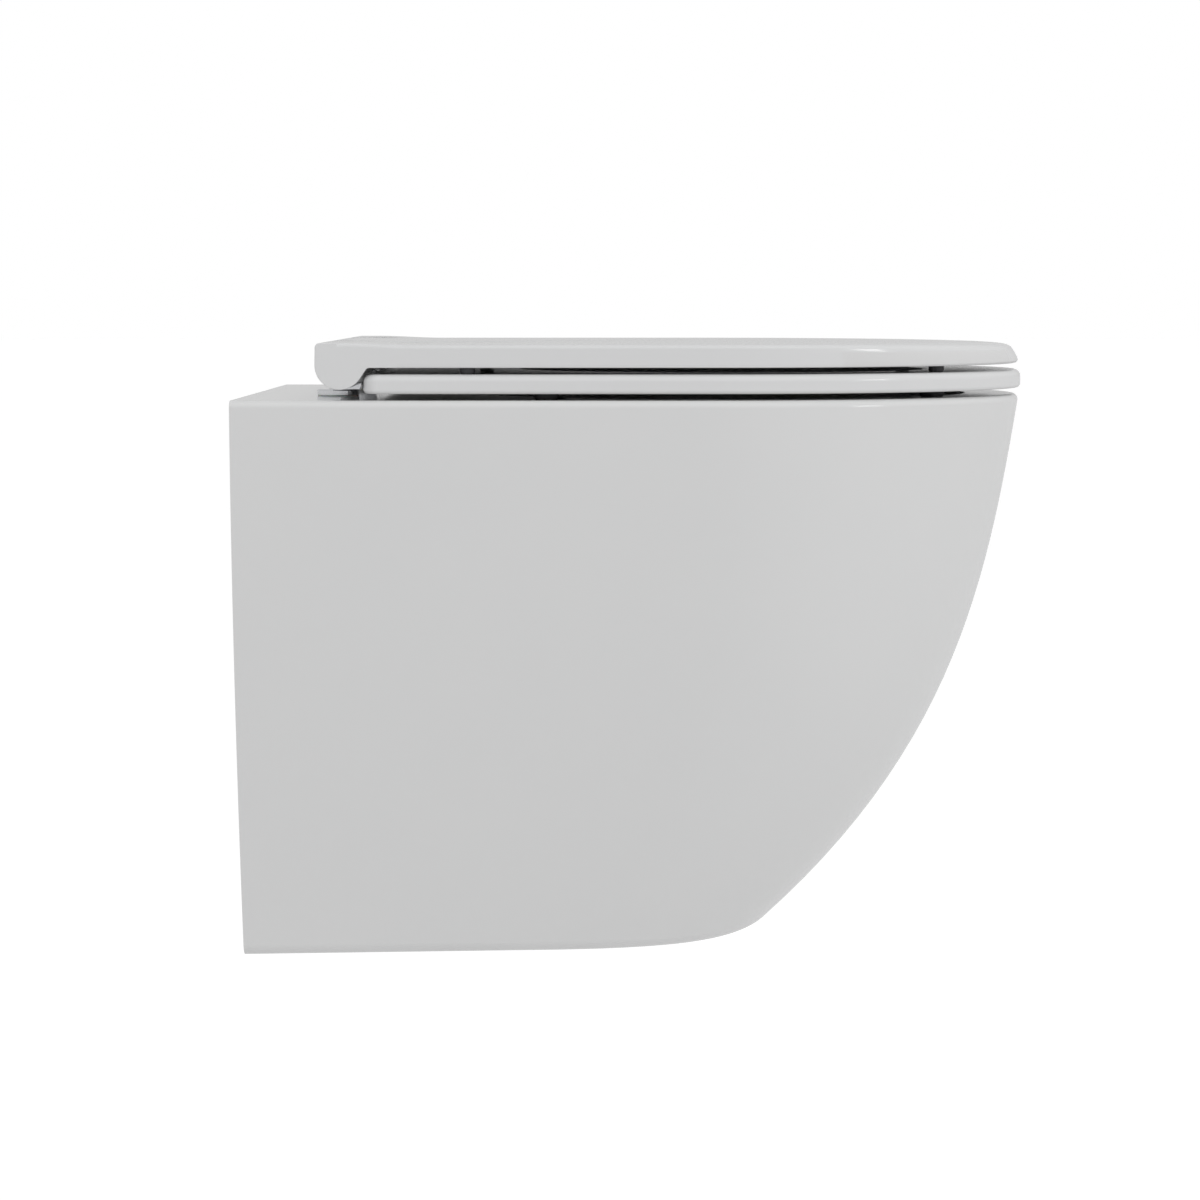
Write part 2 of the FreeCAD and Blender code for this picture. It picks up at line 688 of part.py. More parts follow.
def cartridge(label, start, end, pin_end):
    """A round insert about the hinge pin; its bore stops at pin_end, or runs through where that is None."""
    bore = "pin_radius + running_gap"
    corners = [(start, bore), (start, "cartridge_radius"), (end, "cartridge_radius"), (end, bore)]
    if pin_end == "inner":
        corners = [(start, "0"), *corners[1:], ("pin_inner - end_gap", bore), ("pin_inner - end_gap", "0")]
    if pin_end == "outer":
        corners = [*corners[:3], (end, "0"), ("pin_outer + end_gap", "0"), ("pin_outer + end_gap", bore)]
    return turned(label, corners, ("0", "-axis_reach", "rim_level + axis_rise"), "X")


# Seat -----------------------------------------------------------------------------------------------

def cover_plate(name, rear, front, half_width, low, high, inset="0"):
    """A level plate with straight sides and an elliptical front."""
    nose = f"(cover_nose - {inset})"
    centre = f"({front} - cover_nose)"
    straight = box(name + "Straight", (f"-({half_width} - {inset})", f"-{centre}", low),
                   (f"{half_width} - {inset}", f"-({rear})", high))
    curved = oval_block(name + "Nose", nose, f"{half_width} - {inset}", ("0", f"-{centre}", low),
                        f"({high}) - ({low})")
    return fuse(name, straight, curved)


def buffer_set(label, foot, height, radius):
    """Four round buffers that stand on a level with their chamfered feet, a hair clear of it."""
    profile = [("running_gap", "0"), ("running_gap", f"{radius} - buffer_chamfer"), ("buffer_foot", radius),
               (height, radius), (height, "0")]
    name = label.rstrip("s")
    rounds = [turned(label + end, profile, (f"{name}_{end}_side", f"-{name}_{end}_reach", foot))
              for end in ("rear", "front")]
    return quartet(label, *rounds)


def make_seat():
    """The seat ring with its two hinge knuckles, its buffers and its two hinge inserts."""
    under = "rim_level + seat_rise"
    top = "rim_level + seat_rise + seat_thickness"
    plate = cover_plate("SeatPlate", "seat_rear", "seat_front", "seat_half_width", under, top)
    opening = oval_block("SeatOpening", "opening_half_length", "opening_half_width",
                         ("0", "-opening_reach", f"{under} - overrun"), "seat_thickness + 2 * overrun")
    ring = cut("SeatRing", plate, opening)
    level = size("rim_level") + size("seat_rise")
    ring = round_level("SeatTopEdge", ring, size("seat_top_rounding"), level + size("seat_thickness"))
    ring = round_level("SeatUnderEdge", ring, size("seat_under_rounding"), level)
    axis = ("-axis_reach", "rim_level + axis_rise")
    knuckles, bores = [], []
    for side, inner in (("Right", "knuckle_inner"), ("Left", "-knuckle_outer")):
        width = "knuckle_outer - knuckle_inner"
        outer = f"{inner} + {width}"
        knuckles += [
            cylinder(f"Knuckle{side}", "knuckle_radius", width, (inner, *axis), ALONG_X),
            box(f"Arm{side}", (inner, "-arm_front", "rim_level + arm_rise"), (outer, "-arm_rear", top)),
            box(f"ArmTop{side}", (inner, "-seat_rear", "rim_level + arm_rise"),
                (outer, "-arm_rear", "rim_level + arm_top")),
        ]
        bores.append(cylinder(f"KnuckleBore{side}", "cartridge_radius + fit_gap", f"{width} + 2 * overrun",
                              (f"{inner} - overrun", *axis), ALONG_X))
    seat = finish("seat", cut("SeatDone", fuse("SeatJoined", ring, *knuckles), *bores))
    buffers = buffer_set("seat_buffers", "rim_level", "seat_rise", "seat_buffer_radius")
    ends = ("knuckle_inner + end_gap", "knuckle_outer - end_gap")
    damper = cartridge("seat_damper", *ends, "inner")
    bush = cartridge("SeatBushRight", *ends, None)
    return [seat, buffers, damper, mirror("seat_bush", bush)]


# Lid ------------------------------------------------------------------------------------------------

def make_lid():
    """The lid with its hinge barrel, its buffers and its two hinge inserts."""
    under, top = "rim_level + lid_rise", "rim_level + lid_top"
    plate = cover_plate("LidPlate", "axis_reach", "lid_front", "lid_half_width", under, top)
    plate = round_level("LidTopEdge", plate, size("lid_rounding"), size("rim_level") + size("lid_top"),
                        size("axis_reach"))
    lobe = cylinder("LidLobe", "lobe_radius", "2 * lid_half_width",
                    ("-lid_half_width", "-axis_reach", under), ALONG_X)
    barrel = padded("LidBarrel", "YZ_Plane", [("-lid_rear", "lid_rise"),
                                              ("-lid_rear", "hump_top - hump_chamfer"),
                                              ("-lid_rear - hump_chamfer", "hump_top"),
                                              ("-hump_reach", "hump_top"),
                                              ("-hump_end", "lid_top"), ("-hump_end", "lid_rise"),
                                              ("-flank_top_reach", "lid_rise"),
                                              ("-flank_foot_reach", "flank_foot_rise"),
                                              ("-axis_reach", "flank_foot_rise")],
                    "2 * lid_half_width", ("0", "0", "rim_level"))
    recess = cover_plate("LidRecess", "recess_rear", "lid_front", "lid_half_width", f"{under} - overrun",
                         f"{under} + recess_height", "recess_inset")
    notch_outer = "hinge_spacing / 2 + notch_half_width"
    notch_inner = "hinge_spacing / 2 - notch_half_width"
    axis = ("-axis_reach", "rim_level + axis_rise")
    spaces = fuse(
        "HingeSpace",
        box("Notch", (notch_inner, "-notch_front", "rim_level"),
            (notch_outer, "0", "rim_level + hump_top + overrun")),
        box("Pocket", ("pocket_inner", "-notch_front", "rim_level"),
            (f"{notch_inner} + overrun", "0", "rim_level + axis_rise")),
        cylinder("PocketRound", "pocket_radius", f"{notch_inner} + overrun - pocket_inner",
                 ("pocket_inner", *axis), ALONG_X),
        cylinder("CartridgeBore", "cartridge_radius + fit_gap", "cartridge_length + cartridge_play + overrun",
                 (f"{notch_outer} - overrun", *axis), ALONG_X),
    )
    joined = fuse("LidJoined", plate, lobe, barrel)
    lid = cut("LidDone", joined, recess, spaces, mirror("HingeSpaceLeft", spaces))
    gap = "lid_rise - seat_rise - seat_thickness"
    buffers = buffer_set("lid_buffers", "rim_level + seat_rise + seat_thickness", gap, "lid_buffer_radius")
    ends = (f"{notch_outer} + cartridge_play", f"{notch_outer} + cartridge_length")
    damper = cartridge("LidDamperRight", *ends, "outer")
    bush = cartridge("lid_bush", *ends, None)
    return [finish("lid", lid), buffers, bush, mirror("lid_damper", damper)]


# Assembly -------------------------------------------------------------------------------------------

def write_nodes(nodes):
    """Check every object of the document, then write one STEP file per node."""
    doc.recompute()
    for item in doc.Objects:
        if {"Invalid", "Error"} & set(item.State):
            raise RuntimeError(f"{item.Label} failed: {item.State}")
    os.makedirs("parts", exist_ok=True)
    for node in nodes:
        shape = node.Shape
        if shape.isNull() or not shape.isValid() or not shape.Solids:
            raise RuntimeError(f"{node.Label} has no valid solid")
        print(f"{node.Label:22s} {len(shape.Solids)} solid(s) {shape.Volume / 1000:9.1f} cm3")
        shape.exportStep(f"parts/{node.Label}.step")


write_nodes([*make_pan(), *make_wall_fixings(), *make_hinges(), *make_seat(), *make_lid()])
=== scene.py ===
"""A wall hung toilet: its visible pieces and finishes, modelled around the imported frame.

The frame is that of the CAD model: the wall is the plane y = 0, the pan's front points to -y and z is up.
The shapes' own sizes are in mm, and what Blender gets is in metres. "reach" is a distance from the wall (-y)
and "depth" a distance below the pan's rim.
"""

import logging
import math
from collections.abc import Callable, Iterator, Sequence
from contextlib import contextmanager
from dataclasses import dataclass, field
from enum import Enum
from functools import cache

import bmesh
import bpy
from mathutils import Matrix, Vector

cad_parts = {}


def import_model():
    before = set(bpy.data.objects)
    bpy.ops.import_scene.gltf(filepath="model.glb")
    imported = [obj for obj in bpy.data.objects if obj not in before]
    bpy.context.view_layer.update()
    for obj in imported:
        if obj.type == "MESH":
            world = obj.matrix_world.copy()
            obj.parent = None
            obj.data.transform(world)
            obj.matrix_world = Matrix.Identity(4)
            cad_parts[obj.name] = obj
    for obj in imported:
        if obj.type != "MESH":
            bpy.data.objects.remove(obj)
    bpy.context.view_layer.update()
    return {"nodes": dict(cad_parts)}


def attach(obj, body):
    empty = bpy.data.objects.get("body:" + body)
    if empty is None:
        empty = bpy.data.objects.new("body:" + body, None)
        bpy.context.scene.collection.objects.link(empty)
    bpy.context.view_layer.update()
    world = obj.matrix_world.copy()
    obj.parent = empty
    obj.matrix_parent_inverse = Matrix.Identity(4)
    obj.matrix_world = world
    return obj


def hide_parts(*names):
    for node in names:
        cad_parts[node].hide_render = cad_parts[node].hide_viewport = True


LOG = logging.getLogger("toilet")
MM = 0.001
QUARTER_HANDLE = 0.5523
WIDEST_ARC = math.radians(60)
SMOOTH_BELOW = math.radians(32)
WELD = 0.002 * MM
HINGE_REACH, HINGE_HEIGHT = 68.0, 122.0
POST_SIDE, POST_REACH = 77.5, 60.4
STRAIGHT = Vector()


# Outlines


@dataclass(frozen=True)
class Knot:
    """A control point of an outline with the handles before and after it."""

    at: Vector
    before: Vector
    after: Vector

    def blend(self, other: "Knot", share: float) -> "Knot":
        """This knot moved by a share of the way to another one."""
        return Knot(
            self.at.lerp(other.at, share),
            self.before.lerp(other.before, share),
            self.after.lerp(other.after, share),
        )


@dataclass(frozen=True)
class Outline:
    """A closed line of smooth curves and straight runs."""

    knots: tuple[Knot, ...]

    @classmethod
    def mirrored(cls, run: Sequence[tuple[Vector, Vector, Vector]]) -> "Outline":
        """An outline from its right-hand half.

        Args:
            run: Its points from the wall to the tip, each with the handles before and after it as
                offsets. A zero offset means that the outline is straight on that side.

        Returns:
            The closed outline. A point in the pan's middle plane stays single.
        """
        flip = Vector((-1, 1, 1))
        other = [(at * flip, after * flip, before * flip) for at, before, after in reversed(run) if at.x]
        points = [*run, *other]
        knots = []
        for number, (at, before, after) in enumerate(points):
            last, following = points[number - 1][0], points[(number + 1) % len(points)][0]
            behind = before if before.length else (last - at) / 3
            ahead = after if after.length else (following - at) / 3
            knots.append(Knot(at, at + behind, at + ahead))
        return cls(tuple(knots))

    @classmethod
    def ellipse(
        cls, middle: float, half_length: float, half_width: float, level: float, turns: Sequence[float]
    ) -> "Outline":
        """A level ellipse.

        Args:
            middle: The reach of its centre.
            half_length: Half its size along the pan.
            half_width: Half its size across the pan.
            level: Its height.
            turns: Where its knots lie, in degrees from the wall side over the right-hand side.

        Returns:
            The closed outline.
        """
        knots = []
        for number, turn in enumerate(turns):
            angle = math.radians(turn)
            at = Vector((half_width * math.sin(angle), half_length * math.cos(angle) - middle, level))
            along = Vector((half_width * math.cos(angle), -half_length * math.sin(angle), 0.0))
            ahead = math.radians((turns[(number + 1) % len(turns)] - turn) % 360)
            behind = math.radians((turn - turns[number - 1]) % 360)
            stretch = [4 / 3 * math.tan(gap / 4) for gap in (behind, ahead)]
            knots.append(Knot(at, at - along * stretch[0], at + along * stretch[1]))
        return cls(tuple(knots))

    @classmethod
    def profile(cls, corners: Sequence[tuple[float, float, float]], side: float) -> "Outline":
        """An upright polygon with rounded corners, in a plane across the pan.

        Args:
            corners: The reach, height and rounding of each corner, in mm.
            side: The plane's place along x, in mm.

        Returns:
            The closed outline in metres.
        """
        points = [Vector((side, -reach, height)) for reach, height, _ in corners]
        knots: list[Knot] = []
        for number, (point, (_, _, radius)) in enumerate(zip(points, corners)):
            away = (points[number - 1] - point).normalized()
            onward = (points[(number + 1) % len(points)] - point).normalized()
            if radius == 0:
                knots.append(Knot(point, point, point))
                continue
            turn = math.pi - away.angle(onward)
            start = point + away * radius * math.tan(turn / 2)
            centre = point + (away + onward).normalized() * radius / math.cos(turn / 2)
            spoke, heading = (start - centre), -away * radius
            pieces = math.ceil(turn / WIDEST_ARC)
            stretch = 4 / 3 * math.tan(turn / pieces / 4)
            for piece in range(pieces + 1):
                angle = turn * piece / pieces
                at = centre + spoke * math.cos(angle) + heading * math.sin(angle)
                along = (heading * math.cos(angle) - spoke * math.sin(angle)) * stretch
                before = at if piece == 0 else at - along
                after = at if piece == pieces else at + along
                knots.append(Knot(at, before, after))
        return cls(tuple(knots)).straightened().changed(lambda at: at * MM)

    def straightened(self) -> "Outline":
        """The same outline, with the handles of its straight runs a third along them."""
        knots = []
        for number, knot in enumerate(self.knots):
            last, following = self.knots[number - 1], self.knots[(number + 1) % len(self.knots)]
            before = knot.at.lerp(last.at, 1 / 3) if knot.before == knot.at else knot.before
            after = knot.at.lerp(following.at, 1 / 3) if knot.after == knot.at else knot.after
            knots.append(Knot(knot.at, before, after))
        return Outline(tuple(knots))

    def blend(self, other: "Outline", share: float) -> "Outline":
        """The outline at a share of the way to another one with as many knots."""
        return Outline(tuple(a.blend(b, share) for a, b in zip(self.knots, other.knots)))

    def changed(self, change: Callable[[Vector], Vector]) -> "Outline":
        """The outline with each of its points and handles put through a change."""
        return Outline(tuple(Knot(change(k.at), change(k.before), change(k.after)) for k in self.knots))


def quarter(radius: float, steps: int) -> list[tuple[float, float]]:
    """Points of a quarter round that starts flat and ends upright.

    Args:
        radius: The round's radius.
        steps: How many pieces it has.

    Returns:
        Pairs of what is left to go sideways and what has been gone upwards.
    """
    angles = [math.pi / 2 * step / steps for step in range(steps + 1)]
    return [(radius * (1 - math.sin(angle)), radius * (1 - math.cos(angle))) for angle in angles]


# Mesh work


class Element(Enum):
    """What edit mode selects."""

    VERTEX = "VERT"
    EDGE = "EDGE"


class Cut(Enum):
    """How one solid acts on another."""

    JOIN = "UNION"
    REMOVE = "DIFFERENCE"


def deselect_all() -> None:
    """Leave nothing selected in object mode."""
    for shown in bpy.context.selected_objects:
        shown.select_set(False)


class Workpiece:
    """A mesh object that is being shaped with editing operators."""

    def __init__(self, shape: bpy.types.Object) -> None:
        """Take hold of a mesh object."""
        self.shape = shape

    @classmethod
    def loft(cls, name: str, outlines: Sequence[Outline], fineness: int, ring: bool = False) -> "Workpiece":
        """A skin over outlines, closed at both ends unless it is a ring.

        Args:
            name: The piece's name.
            outlines: The sections in order, all with as many knots.
            fineness: How many edges each run between two knots gets.
            ring: Whether the last section joins the first one.

        Returns:
            The closed solid.
        """
        deselect_all()
        bpy.ops.curve.primitive_bezier_curve_add()
        line = bpy.context.object
        line.name = name
        line.data.resolution_u = fineness
        line.data.splines.clear()
        for outline in outlines:
            spline = line.data.splines.new("BEZIER")
            spline.bezier_points.add(len(outline.knots) - 1)
            for point, knot in zip(spline.bezier_points, outline.knots):
                point.handle_left_type = point.handle_right_type = "FREE"
                point.co, point.handle_left, point.handle_right = knot.at, knot.before, knot.after
            spline.use_cyclic_u = True
            spline.resolution_u = fineness
        bpy.ops.object.convert(target="MESH")
        piece = cls(bpy.context.object)
        around = len(outlines[0].knots) * fineness
        count = len(outlines)
        seams = [(step, step + 1) for step in range(count - 1)] + ([(count - 1, 0)] if ring else [])
        with piece.editing(Element.EDGE) as mesh:
            for pair in seams:
                piece.pick_sections(mesh, pair, around)
                bpy.ops.mesh.bridge_edge_loops()
            for end in () if ring else (0, count - 1):
                piece.pick_sections(mesh, (end,), around)
                bpy.ops.mesh.edge_face_add()
            bpy.ops.mesh.select_all(action="SELECT")
            bpy.ops.mesh.normals_make_consistent(inside=False)
        return piece

    @classmethod
    def prism(cls, name: str, outline: Outline, fineness: int, width: float) -> "Workpiece":
        """An upright profile drawn out along x.

        Args:
            name: The piece's name.
            outline: The profile.
            fineness: How many edges each run between two knots gets.
            width: How far it is drawn out.

        Returns:
            The closed solid.
        """
        far = outline.changed(lambda at: at + Vector((width, 0, 0)))
        return cls.loft(name, [outline, far], fineness)

    @classmethod
    def block(cls, name: str, low: Vector, high: Vector) -> "Workpiece":
        """A box between two corners."""
        deselect_all()
        bpy.ops.mesh.primitive_cube_add(size=1, location=(low + high) / 2, scale=high - low)
        return cls.settled(name)

    @classmethod
    def rod(cls, name: str, radius: float, start: Vector, end: Vector, sides: int = 64) -> "Workpiece":
        """A round bar between two points."""
        deselect_all()
        run = end - start
        turn = run.to_track_quat("Z", "Y").to_euler()
        bpy.ops.mesh.primitive_cylinder_add(
            vertices=sides, radius=radius, depth=run.length, location=(start + end) / 2, rotation=turn
        )
        return cls.settled(name)

    @classmethod
    def ball(cls, name: str, radius: float, centre: Vector) -> "Workpiece":
        """A sphere."""
        deselect_all()
        bpy.ops.mesh.primitive_uv_sphere_add(segments=64, ring_count=32, radius=radius, location=centre)
        return cls.settled(name)

    @classmethod
    def settled(cls, name: str) -> "Workpiece":
        """The primitive just added, with its place in its mesh."""
        shape = bpy.context.object
        shape.name = name
        bpy.ops.object.transform_apply(location=True, rotation=True, scale=True)
        return cls(shape)

    def focus(self) -> None:
        """Make this piece the active one and the only one selected."""
        deselect_all()
        self.shape.select_set(True)
        bpy.context.view_layer.objects.active = self.shape

    @contextmanager
    def editing(self, element: Element) -> Iterator[bmesh.types.BMesh]:
        """Edit mode on this piece, with nothing selected.

        Args:
            element: What is to be selected.

        Yields:
            The mesh under edit.
        """
        self.focus()
        bpy.ops.object.mode_set(mode="EDIT")
        bpy.ops.mesh.select_mode(type=element.value)
        bpy.ops.mesh.select_all(action="DESELECT")
        yield bmesh.from_edit_mesh(self.shape.data)
        bpy.ops.object.mode_set(mode="OBJECT")

    def pick_sections(self, mesh: bmesh.types.BMesh, numbers: Sequence[int], around: int) -> None:
        """Select whole sections of a loft by their numbers."""
        bpy.ops.mesh.select_all(action="DESELECT")
        mesh.verts.ensure_lookup_table()
        wanted = {number * around + step for number in numbers for step in range(around)}
        last_first = {(number * around, number * around + around - 1) for number in numbers}
        for number in sorted(wanted):
            for edge in mesh.verts[number].link_edges:
                ends = tuple(sorted(vert.index for vert in edge.verts))
                if ends in last_first or (ends[1] - ends[0] == 1 and ends[0] // around == ends[1] // around):
                    edge.select = True
        mesh.select_flush_mode()
        bmesh.update_edit_mesh(self.shape.data)

    def act(self, how: Cut, *tools: "Workpiece") -> "Workpiece":
        """Join or remove other solids, which are used up.

        Args:
            how: What is done with them.
            tools: The other solids.

        Returns:
            This piece.
        """
        for tool in tools:
            change = self.shape.modifiers.new("cut", "BOOLEAN")
            change.operation = how.value
            change.solver = "MANIFOLD"
            change.object = tool.shape
            self.apply(change)
            bpy.data.objects.remove(tool.shape)
        return self

    def apply(self, change: bpy.types.Modifier) -> None:
        """Apply one modifier."""
        self.focus()
        bpy.ops.object.modifier_apply(modifier=change.name)

    def bevel(self, width: float, steps: int, test: Callable) -> None:
        """Round the edges that pass a test.

        Args:
            width: The round's radius.
            steps: How many faces it has across.
            test: Takes an edge and says whether it is wanted.
        """
        with self.editing(Element.EDGE) as mesh:
            for edge in filter(test, mesh.edges):
                edge.select = True
            mesh.select_flush_mode()
            bmesh.update_edit_mesh(self.shape.data)
            bpy.ops.mesh.bevel(offset=width, segments=steps, affect="EDGES", clamp_overlap=True)

    def paint(self, slot: int, test: Callable) -> None:
        """Give the faces that pass a test another of the piece's materials."""
        for face in self.shape.data.polygons:
            if test(face):
                face.material_index = slot

    def dress(self, *finishes: bpy.types.Material) -> "Workpiece":
        """Give the piece its materials in slot order, with every face on the first one."""
        self.shape.data.materials.clear()
        for finish in finishes:
            self.shape.data.materials.append(finish)
        self.paint(0, lambda face: True)
        return self

    def smooth(self) -> "Workpiece":
        """Clean the mesh, shade it smooth up to a small angle and hold flat faces flat."""
        with self.editing(Element.VERTEX):
            bpy.ops.mesh.select_all(action="SELECT")
            bpy.ops.mesh.remove_doubles(threshold=WELD)
            bpy.ops.mesh.normals_make_consistent(inside=False)
        self.focus()
        bpy.ops.object.shade_smooth_by_angle(angle=SMOOTH_BELOW)
        weighted = self.shape.modifiers.new("weighted", "WEIGHTED_NORMAL")
        weighted.keep_sharp = True
        self.apply(weighted)
        return self


def upright(reach: float, height: float, side: float = 0.0) -> Vector:
    """The place in metres of a point given in mm: its reach, its height and how far it lies across."""
    return Vector((side, -reach, height)) * MM


def run_along(edge: bmesh.types.BMEdge, axis: int) -> float:
    """How far an edge runs along an axis, in metres."""
    return abs(edge.verts[0].co[axis] - edge.verts[1].co[axis])


def axle(name: str, radius: float, start: float, end: float) -> Workpiece:
    """A round bar on the hinge axis between two places across, all in mm."""
    ends = [upright(HINGE_REACH, HINGE_HEIGHT, place) for place in (start, end)]
    return Workpiece.rod(name, radius * MM, *ends)


# Finishes


class Value:
    """A number or colour inside a material, usable in formulas."""

    def __init__(self, tree: bpy.types.NodeTree, socket: bpy.types.NodeSocket) -> None:
        """Wrap a node's output."""
        self.tree = tree
        self.socket = socket

    def node(self, kind: str, inputs: dict, output: int | str = 0, **settings: object) -> "Value":
        """Add any node.

        Args:
            kind: The node's type.
            inputs: What goes into its sockets, as values or constants, by name or number.
            output: The socket that is wanted.
            settings: The node's own options.

        Returns:
            The wanted output.
        """
        made = self.tree.nodes.new(kind)
        for name, setting in settings.items():
            setattr(made, name, setting)
        for name, given in inputs.items():
            if isinstance(given, Value):
                self.tree.links.new(given.socket, made.inputs[name])
            else:
                made.inputs[name].default_value = given
        return Value(self.tree, made.outputs[output])

    def maths(self, operation: str, *terms: "Value | float") -> "Value":
        """One step of arithmetic on its terms."""
        return self.node("ShaderNodeMath", dict(enumerate(terms)), operation=operation)

    def __add__(self, other: "Value | float") -> "Value":
        """This value and another added."""
        return self.maths("ADD", self, other)

    def __radd__(self, other: "Value | float") -> "Value":
        """Another value and this one added."""
        return self.maths("ADD", other, self)

    def __sub__(self, other: "Value | float") -> "Value":
        """This value less another."""
        return self.maths("SUBTRACT", self, other)

    def __rsub__(self, other: "Value | float") -> "Value":
        """Another value less this one."""
        return self.maths("SUBTRACT", other, self)

    def __mul__(self, other: "Value | float") -> "Value":
        """This value times another."""
        return self.maths("MULTIPLY", self, other)

    def __rmul__(self, other: "Value | float") -> "Value":
        """Another value times this one."""
        return self.maths("MULTIPLY", other, self)

    def step(self, low: float, high: float) -> "Value":
        """0 below low and 1 above high, smooth between them."""
        return self.node(
            "ShaderNodeMapRange",
            {"Value": self, "From Min": low, "From Max": high},
            interpolation_type="SMOOTHSTEP",
        )

    def tint(self, dark: "Colour", light: "Colour") -> "Value":
        """The colour at this share of the way from dark to light."""
        ends = {"Factor": self, "A": (*dark, 1.0), "B": (*light, 1.0)}
        return self.node("ShaderNodeMix", ends, "Result", data_type="RGBA")


Colour = tuple[float, float, float]


class Recipe:
    """A material under construction around one principled shader."""

    def __init__(self, name: str) -> None:
        """Start a material."""
        self.material = bpy.data.materials.new(name)
        self.material.use_nodes = True
        self.tree = self.material.node_tree
        self.shader = self.tree.nodes["Principled BSDF"]
        place = self.tree.nodes.new("ShaderNodeTexCoord")
        self.place = Value(self.tree, place.outputs["Object"])

    def set(self, **inputs: "Value | float | Colour") -> None:
        """Feed the shader's sockets, whose spaces are written as underscores."""
        for name, given in inputs.items():
            socket = self.shader.inputs[name.replace("_", " ")]
            if isinstance(given, Value):
                self.tree.links.new(given.socket, socket)
            else:
                socket.default_value = (*given, 1.0) if isinstance(given, tuple) else given

    def noise(self, scale: float, detail: float = 2.0, stretch: Colour = (1, 1, 1)) -> Value:
        """Cloudy variation.

        Args:
            scale: Its coarseness, in waves per metre.
            detail: How many finer layers it has.
            stretch: A factor on the scale along each axis.

        Returns:
            A value round 0.5.
        """
        place = self.place.node("ShaderNodeMapping", {"Vector": self.place, "Scale": stretch})
        return place.node("ShaderNodeTexNoise", {"Vector": place, "Scale": scale, "Detail": detail})

    def bump(self, height: Value, depth: float, strength: float = 1.0) -> None:
        """Let a height raise the surface.

        Args:
            height: The height, from 0 to 1.
            depth: What a height of 1 measures, in metres.
            strength: The effect's share.
        """
        relief = height.node(
            "ShaderNodeBump", {"Height": height, "Distance": depth, "Strength": strength}, "Normal"
        )
        self.set(Normal=relief)


@dataclass(frozen=True)
class Finish:
    """A surface's name, colours and gloss."""

    name: str
    dark: Colour
    light: Colour
    roughness: float

    def build(self) -> bpy.types.Material:
        """The finished material."""
        recipe = Recipe(self.name)
        self.mix(recipe)
        return recipe.material

    def mix(self, recipe: Recipe) -> None:
        """Add what makes this surface to a material."""
        raise NotImplementedError


@dataclass(frozen=True)
class Glaze(Finish):
    """Fired glaze over a white body: deep gloss, a faint waviness and rare pinholes."""

    waviness: float = 0.00003

    def mix(self, recipe: Recipe) -> None:
        """Add what makes this surface to a material."""
        clouds = recipe.noise(14.0)
        specks = recipe.noise(900.0, 0.0).step(0.74, 0.80)
        recipe.set(
            Base_Color=(clouds - 0.08 * specks).tint(self.dark, self.light),
            Roughness=self.roughness + 0.05 * recipe.noise(40.0),
            IOR=1.52,
        )
        recipe.bump(recipe.noise(24.0, 1.0), self.waviness)


@dataclass(frozen=True)
class Bisque(Finish):
    """Unglazed fired clay with a fine grain, where the casting met the kiln shelf or the wall."""

    def mix(self, recipe: Recipe) -> None:
        """Add what makes this surface to a material."""
        grain = recipe.noise(1600.0, 3.0)
        recipe.set(
            Base_Color=(0.5 * grain + 0.5 * recipe.noise(30.0)).tint(self.dark, self.light),
            Roughness=self.roughness + 0.2 * grain,
        )
        recipe.bump(grain, 0.0002, 0.5)


@dataclass(frozen=True)
class Moulded(Finish):
    """Pressed thermoset or plastic: polished, with the mould's faint orange peel."""

    peel: float = 0.000004

    def mix(self, recipe: Recipe) -> None:
        """Add what makes this surface to a material."""
        flow = recipe.noise(18.0, 1.0, (1.0, 0.35, 1.0))
        recipe.set(
            Base_Color=flow.tint(self.dark, self.light),
            Roughness=self.roughness + 0.06 * recipe.noise(260.0),
            IOR=1.5,
        )
        recipe.bump(recipe.noise(320.0, 1.0), self.peel, 0.5)


@dataclass(frozen=True)
class Metal(Finish):
    """Bare or plated metal with fine lines along one axis."""

    lines: Colour = (1.0, 1.0, 1.0)
    scale: float = 900.0
    relief: float = 0.00002

    def mix(self, recipe: Recipe) -> None:
        """Add what makes this surface to a material."""
        brushed = recipe.noise(self.scale, 2.0, self.lines)
        stains = recipe.noise(60.0, 2.0)
        recipe.set(
            Base_Color=(0.6 * brushed + 0.4 * stains).tint(self.dark, self.light),
            Roughness=self.roughness * (0.6 + 0.8 * brushed),
            Metallic=1.0,
        )
        recipe.bump(brushed, self.relief)


@dataclass(frozen=True)
class Rubber(Finish):
    """Soft rubber with a dull, slightly clouded skin."""

    clear: float = 0.0

    def mix(self, recipe: Recipe) -> None:
        """Add what makes this surface to a material."""
        skin = recipe.noise(500.0, 3.0)
        recipe.set(
            Base_Color=(0.6 * recipe.noise(90.0) + 0.4 * skin).tint(self.dark, self.light),
            Roughness=self.roughness + 0.15 * skin,
            Subsurface_Weight=self.clear,
            Subsurface_Scale=0.003,
        )
        recipe.bump(skin, 0.00005, 0.6)


@cache
def mixed(finish: Finish) -> bpy.types.Material:
    """The material of a finish, made once however many pieces wear it."""
    return finish.build()


